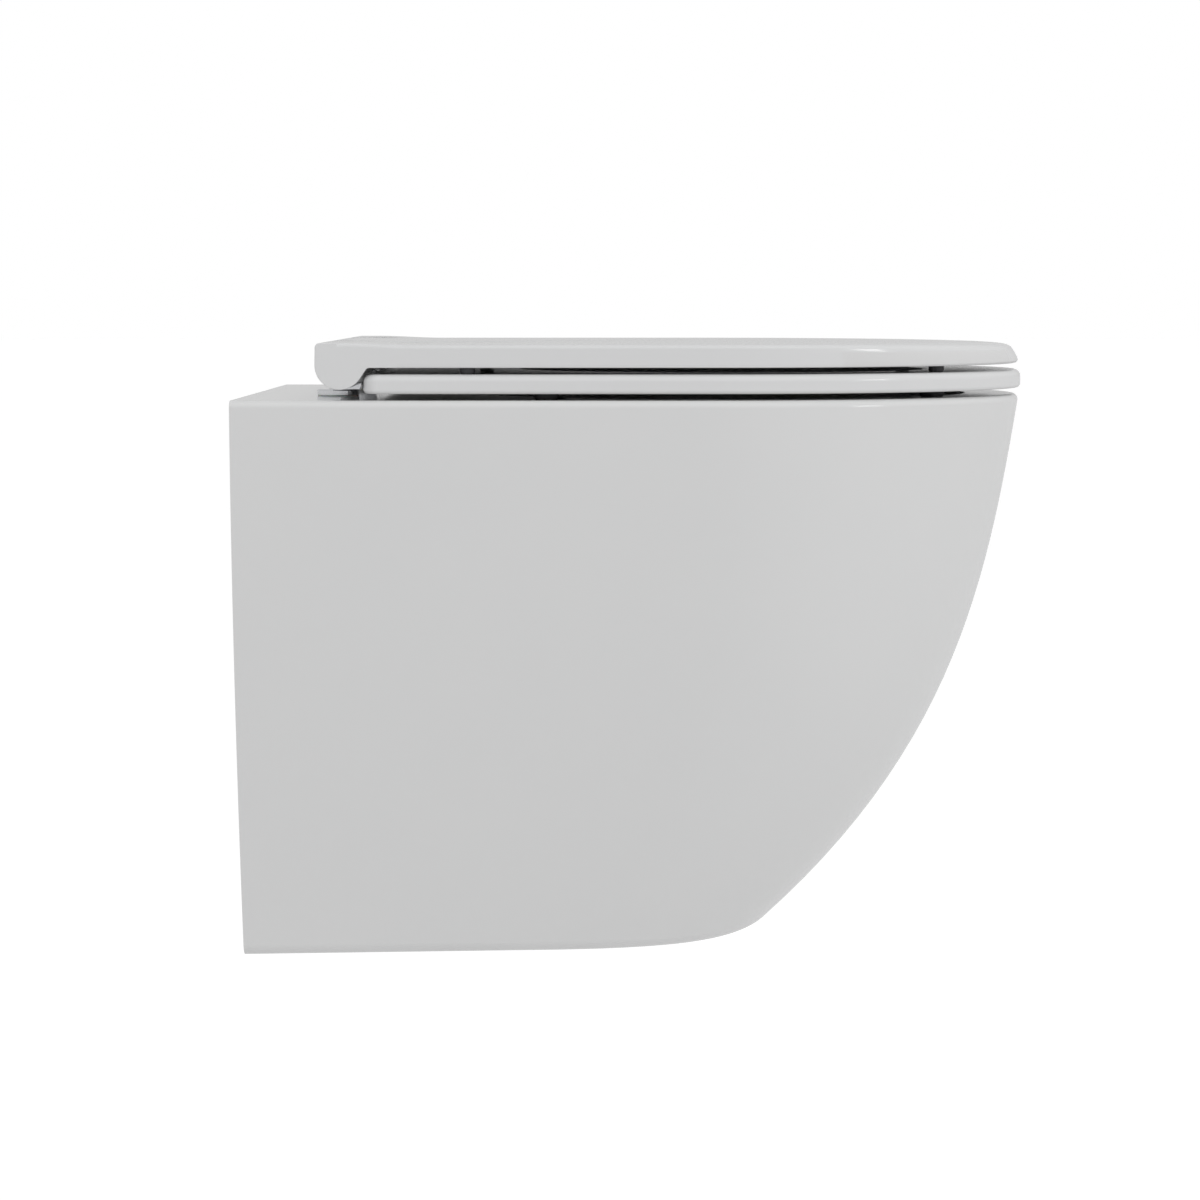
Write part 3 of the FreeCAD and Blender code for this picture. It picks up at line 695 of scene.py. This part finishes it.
@dataclass(frozen=True)
class Finishes:
    """Every surface of the toilet."""

    glaze: Finish = Glaze("glaze", (0.745, 0.748, 0.75), (0.762, 0.763, 0.762), 0.055)
    bisque: Finish = Bisque("bisque", (0.50, 0.485, 0.455), (0.62, 0.61, 0.585), 0.7)
    duroplast: Finish = Moulded("duroplast", (0.742, 0.745, 0.75), (0.76, 0.762, 0.765), 0.10)
    underside: Finish = Moulded("underside", (0.70, 0.70, 0.70), (0.73, 0.73, 0.73), 0.6, peel=0.00006)
    chrome: Finish = Metal(
        "chrome", (0.70, 0.71, 0.73), (0.80, 0.81, 0.83), 0.09, scale=500.0, relief=0.000004
    )
    steel: Finish = Metal("steel", (0.46, 0.47, 0.49), (0.66, 0.67, 0.68), 0.34, lines=(1.0, 1.0, 8.0))
    brass: Finish = Metal("brass", (0.60, 0.43, 0.17), (0.78, 0.61, 0.30), 0.28, lines=(1.0, 1.0, 12.0))
    nylon: Finish = Moulded("nylon", (0.66, 0.65, 0.60), (0.74, 0.73, 0.69), 0.38, peel=0.00006)
    clear_rubber: Finish = Rubber("clear_rubber", (0.56, 0.56, 0.54), (0.70, 0.70, 0.68), 0.38, clear=0.4)
    black_rubber: Finish = Rubber("black_rubber", (0.018, 0.018, 0.02), (0.045, 0.045, 0.048), 0.55)


# Sub-assemblies


def tongue(
    half: float, rear: float, shoulder: float, front: float, radius: float, level: float, split: bool = False
) -> Outline:
    """A level line with a straight back, rounded rear corners, straight sides and an oval nose.

    Args:
        half: Half its width, in mm.
        rear: The reach of its back, in mm.
        shoulder: The reach at which its nose begins, in mm.
        front: The reach of its nose's tip, in mm.
        radius: The rear corners' rounding, in mm.
        level: Its height, in mm.
        split: Whether the back has a knot in its middle.

    Returns:
        The outline in metres.
    """
    turn, nose, wide = (length * QUARTER_HANDLE * MM for length in (radius, front - shoulder, half))
    run = [
        (upright(rear, level, half - radius), STRAIGHT, Vector((turn, 0, 0))),
        (upright(rear + radius, level, half), Vector((0, turn, 0)), STRAIGHT),
        (upright(shoulder, level, half), STRAIGHT, Vector((0, -nose, 0))),
        (upright(front, level), Vector((wide, 0, 0)), Vector((-wide, 0, 0))),
    ]
    if split:
        run.insert(0, (upright(rear, level), STRAIGHT, STRAIGHT))
    return Outline.mirrored(run)


@dataclass
class PanShape:
    """The ceramic pan: shrouded bowl, ledge, trap, flush channel and shelves.

    The sections' laws run on a share that is 0 at the top and 1 at the bottom. The funnel's laws give what
    a measure starts at, what it changes by and the power of the share that it changes with.
    """

    half_width: float = 180.0
    side_lean: float = 46.0
    side_curve: float = 1.84
    side_pinch: float = 13.0
    front: float = 521.0
    front_lean: float = 58.0
    front_sweep: float = 121.0
    nose: float = 220.0
    nose_loss: float = 88.0
    foot_bluntness: float = 0.13
    height: float = 366.0
    top: float = 100.0
    wall: float = 11.0
    deck: float = 16.0
    rim_rounding: float = 5.0
    foot_rounding: float = 8.0
    rear_rounding: float = 2.2
    bowl_middle: float = 313.0
    bowl_half_length: float = 167.0
    bowl_half_width: float = 141.0
    well: float = 60.0
    well_corner: float = 5.0
    ledge_lip: float = 4.0
    funnel_rear: tuple[float, float, float] = (155.0, 53.0, 0.8)
    funnel_front: tuple[float, float, float] = (471.0, -171.0, 1.4)
    funnel_half_width: tuple[float, float, float] = (132.0, -96.0, 1.3)
    sump: float = 344.0
    sump_corner: float = 16.0
    flare: float = 6.0
    bend_centre: Vector = field(default_factory=lambda: Vector((0, -185.0, -158.5)))
    bend: float = 60.0
    climb: float = math.radians(60)
    climb_length: float = 95.0
    trap_radii: tuple[float, float] = (38.0, 25.5)
    waste_centre: Vector = field(default_factory=lambda: Vector((0, -85.0, -100.0)))
    waste_radii: tuple[float, float] = (51.0, 43.0)
    shelf_rounding: float = 3.0
    channel_rounding: float = 6.0
    shelf_corners: tuple[Vector, Vector] = (upright(90, 30, -169), upright(38, 44, 169))
    housing_corners: tuple[Vector, Vector] = (upright(168, 7.5, -59), upright(101, 83, 59))
    slot_corners: tuple[Vector, Vector] = (upright(182, 40, -48), upright(108, 72, 48))
    inlet_height: float = 35.0
    inlet_length: float = 117.0
    inlet_radii: tuple[float, float] = (38.5, 27.5)
    deck_hole: tuple[float, float, float] = (8.0, 80.0, 110.0)
    shelf_hole: tuple[float, float, float] = (10.0, 25.0, 50.0)
    fineness: int = 28

    def outline(self, depth: float, inset: float = 0.0, rear: float = 0.0) -> Outline:
        """The pan's level section.

        Args:
            depth: How far below the rim it lies, in mm.
            inset: How far it lies inside the pan's skin, in mm.
            rear: Where it starts, as a reach in mm.

        Returns:
            The outline in metres.
        """
        share = max(depth, 0.0) / self.height
        half = self.half_width - self.side_lean * share**self.side_curve - inset
        pinched = half - self.side_pinch * share**2
        tip_inset = inset * (1 + 0.5 * share)
        front = self.front - self.front_lean * share - self.front_sweep * share**3 - tip_inset
        nose = self.nose - self.nose_loss * share
        shoulder = front - nose
        slope = (half - pinched) / shoulder
        bulge = QUARTER_HANDLE + self.foot_bluntness * share**3
        handle = bulge * nose
        level = self.top - depth
        wide = Vector((bulge * pinched, 0, 0)) * MM
        lead = Vector((-slope * handle, -handle, 0)) * MM
        return Outline.mirrored([
            (upright(rear, level, half), STRAIGHT, STRAIGHT),
            (upright(shoulder, level, pinched), STRAIGHT, lead),
            (upright(front, level), wide, -wide),
        ])

    def skin(self) -> Workpiece:
        """The pan's outside as a solid block with rounded rim and foot."""
        rim = [(gone, left) for left, gone in quarter(self.rim_rounding, 5)]
        rows = 26
        first, last = self.rim_rounding, self.height - self.foot_rounding
        body = [(first + (last - first) * row / rows, 0.0) for row in range(1, rows)]
        foot = [(self.height - gone, left) for left, gone in reversed(quarter(self.foot_rounding, 8))]
        sections = [self.outline(depth, inset) for depth, inset in (*rim, *body, *foot)]
        skin = Workpiece.loft("pan_ceramic", sections, self.fineness)
        skin.bevel(self.rear_rounding * MM, 4, lambda edge: all(vert.co.y > -0.1 * MM for vert in edge.verts)
                   and edge.calc_face_angle(0.0) > 1.0)
        return skin

    def hollow(self) -> Workpiece:
        """The space inside the shroud, open at the wall."""
        rows = 14
        floor = self.height - self.wall
        depths = [self.deck + (floor - self.deck) * row / rows for row in range(rows + 1)]
        return Workpiece.loft("hollow", [self.outline(depth, self.wall, -5) for depth in depths], 12)

    def bowl_section(self, depth: float, rear: float, front: float, half: float) -> Outline:
        """An ellipse of the bowl from its rear, front and half width, all in mm."""
        turns = [45.0 * number for number in range(8)]
        return Outline.ellipse(
            (rear + front) / 2 * MM, (front - rear) / 2 * MM, half * MM, (self.top - depth) * MM, turns
        )

    def well_section(self, depth: float, inset: float) -> Outline:
        """A section of the upright part under the rim."""
        rear = self.bowl_middle - self.bowl_half_length + inset
        front = self.bowl_middle + self.bowl_half_length - inset
        return self.bowl_section(depth, rear, front, self.bowl_half_width - inset)

    def funnel_section(self, share: float, inset: float, lift: float = 0.0) -> Outline:
        """A section of the part below the ledge, at a share of its depth."""
        depth = self.well + (self.sump - self.well) * share - lift
        laws = (self.funnel_rear, self.funnel_front, self.funnel_half_width)
        rear, front, half = (start + change * share**power for start, change, power in laws)
        return self.bowl_section(depth, rear + inset, front - inset, half - inset)

    def bowl_inside(self) -> Workpiece:
        """The bowl's room, with a flared rim, a stepped ledge and a rounded sump."""
        corner, lip, drop = self.well_corner, self.ledge_lip, self.sump - self.well
        sections = [self.well_section(-3.0, -self.flare)]
        sections += [self.well_section(gone, -left) for left, gone in quarter(self.flare, 6)]
        sections += [self.well_section(self.well - left, gone) for left, gone in quarter(corner, 6)]
        steps = 6
        for step in range(1, steps + 1):
            angle = math.pi / 2 * step / steps
            inset = corner + lip * math.sin(angle) - (corner + lip)
            sections.append(self.funnel_section(lip * (1 - math.cos(angle)) / drop, inset))
        rows, start, last = 20, 0.03, 1 - self.sump_corner / drop
        shares = [start + (last - start) * (row / rows) ** 1.2 for row in range(rows)]
        sections += [self.funnel_section(share, 0.0) for share in shares]
        rounding = quarter(self.sump_corner, 7)
        sections += [self.funnel_section(1 - left / drop, gone) for left, gone in rounding]
        return Workpiece.loft("bowl_inside", sections, 16)

    def bowl_outside(self) -> Workpiece:
        """The bowl's skin inside the shroud."""
        rows, clearance = 16, 0.6
        sections = [self.well_section(depth, -self.wall) for depth in (self.deck / 2, self.well)]
        sections += [self.funnel_section((row / rows) ** 1.2, -self.wall) for row in range(1, rows)]
        sections.append(self.funnel_section(1.0, -self.wall, -self.wall + clearance))
        return Workpiece.loft("bowl_outside", sections, 8)

    def pipe(self, name: str, radius: float, waste_radius: float, run_out: float) -> Workpiece:
        """The trap's passage from the sump over the weir to the wall.

        Args:
            name: The piece's name.
            radius: The trap's radius, in mm.
            waste_radius: The spigot's radius, in mm.
            run_out: How far behind the wall's plane it ends, in mm.

        Returns:
            The solid.
        """
        start = self.bend_centre + Vector((0, -self.bend, -self.bend))
        path = [(start, Vector((0, 1, 0)))]
        steps = 10
        for step in range(steps + 1):
            angle = self.climb * step / steps
            place = self.bend_centre + self.bend * Vector((0, math.sin(angle), -math.cos(angle)))
            path.append((place, Vector((0, math.cos(angle), math.sin(angle)))))
        heading = path[-1][1]
        path.append((path[-1][0] + self.climb_length * heading, heading))
        handle = 4 / 3 * math.tan(math.pi / 8)
        rings = []
        for place, heading in path:
            across = Vector((radius, 0, 0))
            up = heading.cross(across)
            spokes = [(across, up), (up, -across), (-across, -up), (-up, across)]
            rings.append(Outline(tuple(
                Knot(
                    (place + spoke) * MM,
                    (place + spoke - along * handle) * MM,
                    (place + spoke + along * handle) * MM,
                )
                for spoke, along in spokes
            )))
        pipe = Workpiece.loft(name, rings, 12)
        waste, slip = self.waste_centre * MM, 0.02
        chamber = Workpiece.ball("chamber", waste_radius * MM, waste)
        end = Vector((0, run_out, self.waste_centre.z)) * MM
        spout = Workpiece.rod("spout", (waste_radius - slip) * MM, waste, end)
        return pipe.act(Cut.JOIN, chamber, spout)

    def inlet(self, name: str, radius: float, start: float) -> Workpiece:
        """A round bar along the flush inlet, from a reach in mm."""
        ends = [Vector((0, place, self.inlet_height)) * MM for place in (-start, -self.inlet_length)]
        return Workpiece.rod(name, radius * MM, *ends)

    def build(self, finishes: Finishes) -> bpy.types.Object:
        """The finished pan."""
        pan = self.skin().act(Cut.REMOVE, self.hollow())
        trap, passage = self.trap_radii
        spigot, chamber = self.waste_radii
        tube, bore = self.inlet_radii
        pan.act(Cut.JOIN, self.bowl_outside(), self.pipe("trap_outside", trap, spigot, 0.0))
        housing = Workpiece.block("housing", *self.housing_corners)
        housing.bevel(self.channel_rounding * MM, 5, lambda edge: True)
        shelf = Workpiece.block("shelf", *self.shelf_corners)
        shelf.bevel(self.shelf_rounding * MM, 4, lambda edge: True)
        pan.act(Cut.JOIN, self.inlet("tube", tube, 0.0).act(Cut.JOIN, housing), shelf)
        pan.act(Cut.REMOVE, self.bowl_inside(), self.pipe("trap_inside", passage, chamber, 5.0))
        slot = Workpiece.block("slot", *self.slot_corners)
        slot.bevel(self.channel_rounding * MM, 5, lambda edge: run_along(edge, 1) > 20 * MM)
        pan.act(Cut.REMOVE, slot, self.inlet("inlet", bore, -5.0))
        for side in (-POST_SIDE, POST_SIDE):
            for radius, low, high in (self.deck_hole, self.shelf_hole):
                ends = [upright(POST_REACH, height, side) for height in (low, high)]
                pan.act(Cut.REMOVE, Workpiece.rod("hole", radius * MM, *ends, 48))
        pan.smooth().dress(mixed(finishes.glaze), mixed(finishes.bisque))
        pan.paint(1, lambda face: face.center.y > -0.02 * MM)
        return pan.shape


@dataclass
class SeatShape:
    """The seat ring with its two hinge knuckles."""

    rear: float = 84.0
    front: float = 522.0
    half_width: float = 175.5
    nose: float = 215.0
    corner: float = 9.0
    low: float = 104.0
    high: float = 116.4
    under_rounding: float = 2.5
    top_rounding: float = 5.0
    inner_rounding: float = 5.5
    crown: float = 0.25
    opening_middle: float = 318.0
    opening_half_length: float = 134.0
    opening_half_width: float = 112.0
    knuckle_start: float = 40.0
    knuckle_end: float = 69.2
    knuckle_radius: float = 9.5
    bore_radius: float = 7.5

    def outline(self, inset: float, level: float) -> Outline:
        """The seat's outer line, inset and at a level, both in mm."""
        return tongue(
            self.half_width - inset, self.rear + inset, self.front - self.nose, self.front - inset,
            self.corner - inset * 0.5, level, split=True,
        )

    def opening(self, outset: float, level: float) -> Outline:
        """The opening's line, grown by outset and at a level, both in mm."""
        return Outline.ellipse(
            self.opening_middle * MM,
            (self.opening_half_length + outset) * MM,
            (self.opening_half_width + outset) * MM,
            level * MM,
            [0, 36, 46, 96, 180, 264, 314, 324],
        )

    def between(self, inset: float, outset: float, level: float, share: float) -> Outline:
        """A line at a share of the way from the outer line to the opening."""
        return self.outline(inset, level).blend(self.opening(outset, level), share)

    def ring(self) -> Workpiece:
        """The ring, round on all its edges, with a crowned top and a faintly hollow underside."""
        under, top, lip = self.under_rounding, self.top_rounding, self.inner_rounding
        sections = [self.outline(left, self.low + gone) for left, gone in quarter(under, 5)]
        sections += [self.outline(gone, self.high - left) for left, gone in quarter(top, 8)]
        for share in (0.12, 0.3, 0.5, 0.7, 0.88):
            fall = self.crown * (2 * share - 1) ** 2
            sections.append(self.between(top, lip, self.high - fall, share))
        sections += [self.opening(left, self.high - self.crown - gone) for left, gone in quarter(lip, 8)]
        sections += [self.opening(gone, self.low + left) for left, gone in quarter(under, 5)]
        for share, hollow in ((0.75, 0.15), (0.5, 0.2), (0.25, 0.15)):
            sections.append(self.between(under, under, self.low + hollow, share))
        return Workpiece.loft("seat_ring", sections, 20, ring=True)

    def knuckle(self, side: int) -> Workpiece:
        """One knuckle with the arm that carries it.

        Args:
            side: 1 for the right-hand one and -1 for the other.

        Returns:
            The solid.
        """
        near, far = self.knuckle_start, self.knuckle_end
        corners = [
            (72, 106.5, 2), (94, 106.5, 0), (94, 115.9, 0), (85.5, 115.9, 2), (82.5, 119.4, 2), (72, 119.4, 0)
        ]
        profile = Outline.profile(corners, near if side > 0 else -far)
        arm = Workpiece.prism("arm", profile, 5, (far - near) * MM)
        barrel = axle("barrel", self.knuckle_radius, side * near, side * far)
        barrel.bevel(0.8 * MM, 3, lambda edge: edge.calc_face_angle(0.0) > 1.0)
        return barrel.act(Cut.JOIN, arm)

    def build(self, finishes: Finishes) -> bpy.types.Object:
        """The finished seat."""
        seat = self.ring()
        seat.act(Cut.JOIN, self.knuckle(1), self.knuckle(-1))
        for side in (1, -1):
            seat.act(Cut.REMOVE, axle("bore", self.bore_radius, side * 30, side * 80))
        seat.smooth().dress(mixed(finishes.duroplast), mixed(finishes.underside))
        seat.paint(1, lambda face: face.normal.z < -0.5 and face.center.z < (self.low + 1) * MM)
        return seat.shape


@dataclass
class LidShape:
    """The lid with its hinge barrel, recess and notches."""

    rear: float = 62.0
    front: float = 520.4
    half_width: float = 174.0
    nose: float = 215.0
    low: float = 120.5
    high: float = 134.8
    hump_start: float = 72.0
    hump_end: float = 116.0
    hump_handle: float = 14.0
    recess_inset: float = 14.0
    recess_rear: float = 104.0
    recess_height: float = 9.0
    recess_corner: float = 12.0
    recess_mouth: float = 1.5
    recess_rounding: float = 4.0
    barrel_rounding: float = 1.9
    room_reach: float = 84.5
    notch_half: float = 8.3
    notch_rounding: float = 2.0
    pocket: tuple[float, float] = (38.8, 70.0)
    pocket_radius: float = 10.2
    cartridge: tuple[float, float] = (84.0, 136.4)
    cartridge_radius: float = 7.5

    def outline(
        self, side_inset: float, side_level: float, tip_inset: float, tip_level: float, hump: float
    ) -> Outline:
        """A line round the lid that runs higher or lower at its tip than at its sides.

        Args:
            side_inset: The inset along the sides, in mm.
            side_level: The height along the sides, in mm.
            tip_inset: The inset at the tip, in mm.
            tip_level: The height at the tip, in mm.
            hump: How much higher the line is at its rear, in mm.

        Returns:
            The outline in metres.
        """
        half, front = self.half_width - side_inset, self.front - tip_inset
        shoulder, raised = self.front - self.nose, side_level + hump
        lead = Vector((0, -(front - shoulder) * QUARTER_HANDLE, 0)) * MM
        wide = Vector((half * QUARTER_HANDLE, 0, 0)) * MM
        back = Vector((0, self.hump_handle, 0)) * MM
        return Outline.mirrored([
            (upright(self.rear, raised, half), STRAIGHT, STRAIGHT),
            (upright(self.hump_start, raised, half), STRAIGHT, -back),
            (upright(self.hump_end, side_level, half), back, STRAIGHT),
            (upright(shoulder, side_level, half), STRAIGHT, lead),
            (upright(front, tip_level), wide, -wide),
        ])

    def plate(self) -> Workpiece:
        """The lid's plate, with sides that turn into a softer shoulder at its tip."""
        low, high = self.low, self.high
        rows = [
            (1.0, low, 3.2, low, 0.0),
            (0.3, low + 0.3, 1.2, low + 0.5, 0.0),
            (0.0, low + 1.0, 0.2, low + 1.6, 0.0),
            (0.0, low + 3.5, 0.6, low + 3.6, 0.1),
            (0.0, low + 6.5, 2.2, low + 6.6, 0.5),
            (0.0, low + 9.5, 3.8, low + 9.2, 0.9),
            (0.0, low + 11.6, 5.2, low + 11.0, 1.2),
            (0.08, high - 2.0, 6.4, high - 2.5, 1.3),
            (0.35, high - 1.2, 8.0, high - 1.8, 1.4),
            (0.8, high - 0.6, 10.2, high - 1.25, 1.4),
            (1.5, high - 0.2, 14.0, high - 0.8, 1.4),
            (2.4, high, 20.0, high - 0.4, 1.4),
            (5.0, high + 0.05, 32.0, high - 0.05, 1.38),
            (12.0, high + 0.1, 50.0, high + 0.08, 1.34),
            (30.0, high + 0.17, 80.0, high + 0.17, 1.3),
            (70.0, high + 0.25, 130.0, high + 0.25, 1.2),
        ]
        return Workpiece.loft("lid_cover", [self.outline(*row) for row in rows], 20)

    def barrel(self) -> Workpiece:
        """The full-width barrel that hides the hinge, seen as a lobe under the lid's rear."""
        corners = [
            (53.9, 136.2, 3.0), (52.4, 69.9, 15.5), (86.7, 120.5, 3.2), (106.0, 120.5, 0.0),
            (106.0, 131.0, 0.0), (68.0, 131.0, 0.0), (68.0, 136.2, 0.0),
        ]
        profile = Outline.profile(corners, -self.half_width)
        barrel = Workpiece.prism("barrel", profile, 9, 2 * self.half_width * MM)
        end, slack = self.half_width * MM, 1e-6
        barrel.bevel(self.barrel_rounding * MM, 5, lambda edge: run_along(edge, 0) < slack
                     and abs(abs(edge.verts[0].co.x) - end) < slack)
        return barrel

    def recess_line(self, grow: float, level: float) -> Outline:
        """The recess's line, grown and at a level, both in mm."""
        half, front = (size - self.recess_inset + grow for size in (self.half_width, self.front))
        return tongue(half, self.recess_rear - grow, self.front - self.nose, front, self.recess_corner, level)

    def recess(self) -> Workpiece:
        """The hollow of the underside with a rounded ceiling and mouth."""
        mouth, ceiling = self.recess_mouth, self.low + self.recess_height
        sections = [self.recess_line(mouth, self.low - 4)]
        sections += [self.recess_line(left, self.low + gone) for left, gone in quarter(mouth, 4)]
        rounding = quarter(self.recess_rounding, 6)
        sections += [self.recess_line(-gone, ceiling - left) for left, gone in rounding]
        return Workpiece.loft("recess", sections, 14)

    def underneath(self, face: bpy.types.MeshPolygon) -> bool:
        """Whether a face lies in the recess, or looks down in front of the barrel."""
        side, reach, height = abs(face.center.x) / MM, -face.center.y / MM, face.center.z / MM
        slack = 0.1
        if face.normal.z < -0.5 and height > self.low - slack and reach > 88:
            return True
        return (
            height < self.low + self.recess_height + slack
            and side < self.half_width - self.recess_inset + 2 * slack
            and self.recess_rear - 1 < reach < self.front - self.recess_inset + slack
        )

    def hinge_room(self, side: int) -> list[Workpiece]:
        """What is cut from the barrel for one hinge.

        Args:
            side: 1 for the right-hand hinge and -1 for the other.

        Returns:
            The notch round the post, the seat knuckle's square and round pocket, and the cartridge's bore.
        """
        near, far = sorted(side * (POST_SIDE + half) for half in (-self.notch_half, self.notch_half))
        notch = Workpiece.block("notch", upright(self.room_reach, 100, near), upright(0, 145, far))
        notch.bevel(self.notch_rounding * MM, 4, lambda edge: run_along(edge, 2) > 20 * MM)
        near, far = sorted(side * place for place in self.pocket)
        corners = (upright(self.room_reach, 100, near), upright(40, HINGE_HEIGHT, far))
        pocket = Workpiece.block("pocket", *corners)
        round_pocket = axle("round_pocket", self.pocket_radius, *(side * place for place in self.pocket))
        bore = axle("cartridge_bore", self.cartridge_radius, *(side * place for place in self.cartridge))
        return [notch, pocket, round_pocket, bore]

    def build(self, finishes: Finishes) -> bpy.types.Object:
        """The finished lid."""
        lid = self.plate()
        lid.act(Cut.JOIN, self.barrel())
        lid.act(Cut.REMOVE, self.recess())
        for side in (1, -1):
            lid.act(Cut.REMOVE, *self.hinge_room(side))
        lid.smooth().dress(mixed(finishes.duroplast), mixed(finishes.underside))
        lid.paint(1, self.underneath)
        return lid.shape


@dataclass
class FrameParts:
    """The CAD nodes that stay as they are and get their finish here."""

    wearers: dict[str, tuple[str, ...]] = field(default_factory=lambda: {
        "steel": ("wall_bracket_", "stud_", "clamp_screws", "hinge_pin_", "hinge_bolts", "pin_set_screws"),
        "nylon": ("clamp_washers", "seat_damper", "lid_damper", "seat_bush", "lid_bush"),
        "black_rubber": ("hinge_anchor_", "seat_buffers", "lid_buffers"),
        "chrome": ("hinge_post_", "hinge_base_"),
        "clear_rubber": ("hinge_gasket_",),
        "brass": ("anchor_nuts",),
    })

    def dress(self, nodes: dict[str, bpy.types.Object], finishes: Finishes) -> None:
        """Give every CAD node that is shown its finish.

        Args:
            nodes: The CAD nodes by name.
            finishes: The finishes to choose from.
        """
        for name, node in nodes.items():
            slot = next((slot for slot, starts in self.wearers.items() if name.startswith(starts)), None)
            if slot is None:
                continue
            node.data.materials.clear()
            node.data.materials.append(mixed(getattr(finishes, slot)))
            LOG.info("node %s gets %s", name, slot)


# Studio


@dataclass(frozen=True)
class Softbox:
    """A square lamp that faces the toilet."""

    name: str
    place: Colour
    size: float
    power: float
    target: Colour = (0.0, -0.27, 0.0)

    def build(self) -> None:
        """Set the lamp up."""
        lamp = bpy.data.lights.new(self.name, "AREA")
        lamp.shape, lamp.size, lamp.energy = "SQUARE", self.size, self.power
        holder = bpy.data.objects.new(self.name, lamp)
        holder.location = self.place
        aim = Vector(self.target) - Vector(self.place)
        holder.rotation_euler = aim.to_track_quat("-Z", "Y").to_euler()
        bpy.context.scene.collection.objects.link(holder)


@dataclass
class Studio:
    """A plain pale floor under soft light, before a white background."""

    floor_level: float = -0.70
    floor_radius: float = 60.0
    floor_glow: float = 0.41
    mirrored_glow: float = 0.06
    ambient: float = 0.755
    to_front: float = 0.20
    mirrored: float = 0.60
    lamps: tuple[Softbox, ...] = (
        Softbox("key", (-1.55, -2.40, 1.0), 0.5, 4.5),
        Softbox("overhead", (-1.6, -0.3, 2.5), 2.8, 12.0),
    )
    camera_place: Colour = (-2.1115, -0.2340, 0.1663)
    camera_tilt: float = 5.69
    focal_length: float = 91.8
    sensor_width: float = 36.0
    sight: float = 200.0

    def floor(self) -> None:
        """The floor: a wide disc that keeps the toilet's shadow."""
        deselect_all()
        bpy.ops.mesh.primitive_circle_add(
            vertices=96, radius=self.floor_radius, fill_type="NGON", location=(0, 0, self.floor_level)
        )
        bpy.ops.object.transform_apply(location=True, rotation=True, scale=True)
        floor = bpy.context.object
        floor.name = "floor"
        recipe = Recipe("floor")
        recipe.set(Base_Color=recipe.noise(3.0).tint((0.78, 0.78, 0.78), (0.80, 0.80, 0.80)), Roughness=0.9)
        camera = self.ray(recipe.place, "Camera")
        mirrored = self.seen(recipe.place) - camera
        tree = recipe.tree
        glow = tree.nodes.new("ShaderNodeEmission")
        strength = self.floor_glow * camera + self.mirrored_glow * mirrored
        tree.links.new(strength.socket, glow.inputs["Strength"])
        both = tree.nodes.new("ShaderNodeAddShader")
        for shader, socket in zip((recipe.shader, glow), both.inputs):
            tree.links.new(shader.outputs[0], socket)
        tree.links.new(both.outputs[0], tree.nodes["Material Output"].inputs["Surface"])
        floor.data.materials.append(recipe.material)

    @staticmethod
    def ray(start: Value, kind: str) -> Value:
        """1 for rays of a kind and 0 for all others."""
        return start.node("ShaderNodeLightPath", {}, f"Is {kind} Ray")

    @classmethod
    def seen(cls, start: Value) -> Value:
        """1 for rays from the camera, or by mirror or glass, and 0 for those that only carry light."""
        camera, glossy, through = (cls.ray(start, kind) for kind in ("Camera", "Glossy", "Transmission"))
        return camera.maths("MAXIMUM", camera, glossy.maths("MAXIMUM", glossy, through))

    def surroundings(self) -> None:
        """A white background to the eye, a pale one in reflections, and soft light from all round."""
        world = bpy.data.worlds.new("surroundings")
        world.use_nodes = True
        bpy.context.scene.world = world
        tree = world.node_tree
        background = tree.nodes["Background"]
        place = tree.nodes.new("ShaderNodeTexCoord")
        start = Value(tree, place.outputs["Generated"])
        camera, seen = self.ray(start, "Camera"), self.seen(start)
        forward = start.node("ShaderNodeSeparateXYZ", {"Vector": start}, "Y")
        light = (1 - seen) * (self.ambient - self.to_front * forward)
        strength = camera + self.mirrored * (seen - camera) + light
        tree.links.new(strength.socket, background.inputs["Strength"])
        background.inputs["Color"].default_value = (1, 1, 1, 1)

    def camera(self) -> None:
        """The camera, where the photograph was taken from."""
        lens = bpy.data.cameras.new("camera")
        lens.lens, lens.sensor_width, lens.clip_end = self.focal_length, self.sensor_width, self.sight
        holder = bpy.data.objects.new("camera", lens)
        holder.location = self.camera_place
        holder.rotation_euler = (math.radians(90 - self.camera_tilt), 0, math.radians(-90))
        bpy.context.scene.collection.objects.link(holder)
        bpy.context.scene.camera = holder

    def build(self) -> None:
        """Set everything up."""
        self.floor()
        self.surroundings()
        for lamp in self.lamps:
            lamp.build()
        self.camera()
        bpy.context.scene.view_settings.view_transform = "Standard"


@dataclass
class Toilet:
    """The whole toilet, piece by piece."""

    finishes: Finishes = field(default_factory=Finishes)
    pan: PanShape = field(default_factory=PanShape)
    seat: SeatShape = field(default_factory=SeatShape)
    lid: LidShape = field(default_factory=LidShape)
    parts: FrameParts = field(default_factory=FrameParts)

    def build(self, nodes: dict[str, bpy.types.Object]) -> None:
        """Make every piece and tie it to the body it moves with.

        Args:
            nodes: The CAD nodes by name.
        """
        ceramic = [name for name in nodes if name.startswith("pan_")]
        for shape, body, slot, replaced in (
            (self.pan, "pan", "ceramic", ceramic),
            (self.seat, "seat", "duroplast", ["seat"]),
            (self.lid, "lid", "duroplast", ["lid"]),
        ):
            piece = shape.build(self.finishes)
            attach(piece, body)
            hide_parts(*replaced)
            LOG.info("piece %s has %d faces", piece.name, len(piece.data.polygons))
        self.parts.dress(nodes, self.finishes)


def main() -> None:
    """Build the toilet in its studio."""
    logging.basicConfig(level=logging.INFO, format="%(message)s")
    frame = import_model()
    Toilet().build(frame["nodes"])
    Studio().build()


if __name__ == "__main__":
    main()
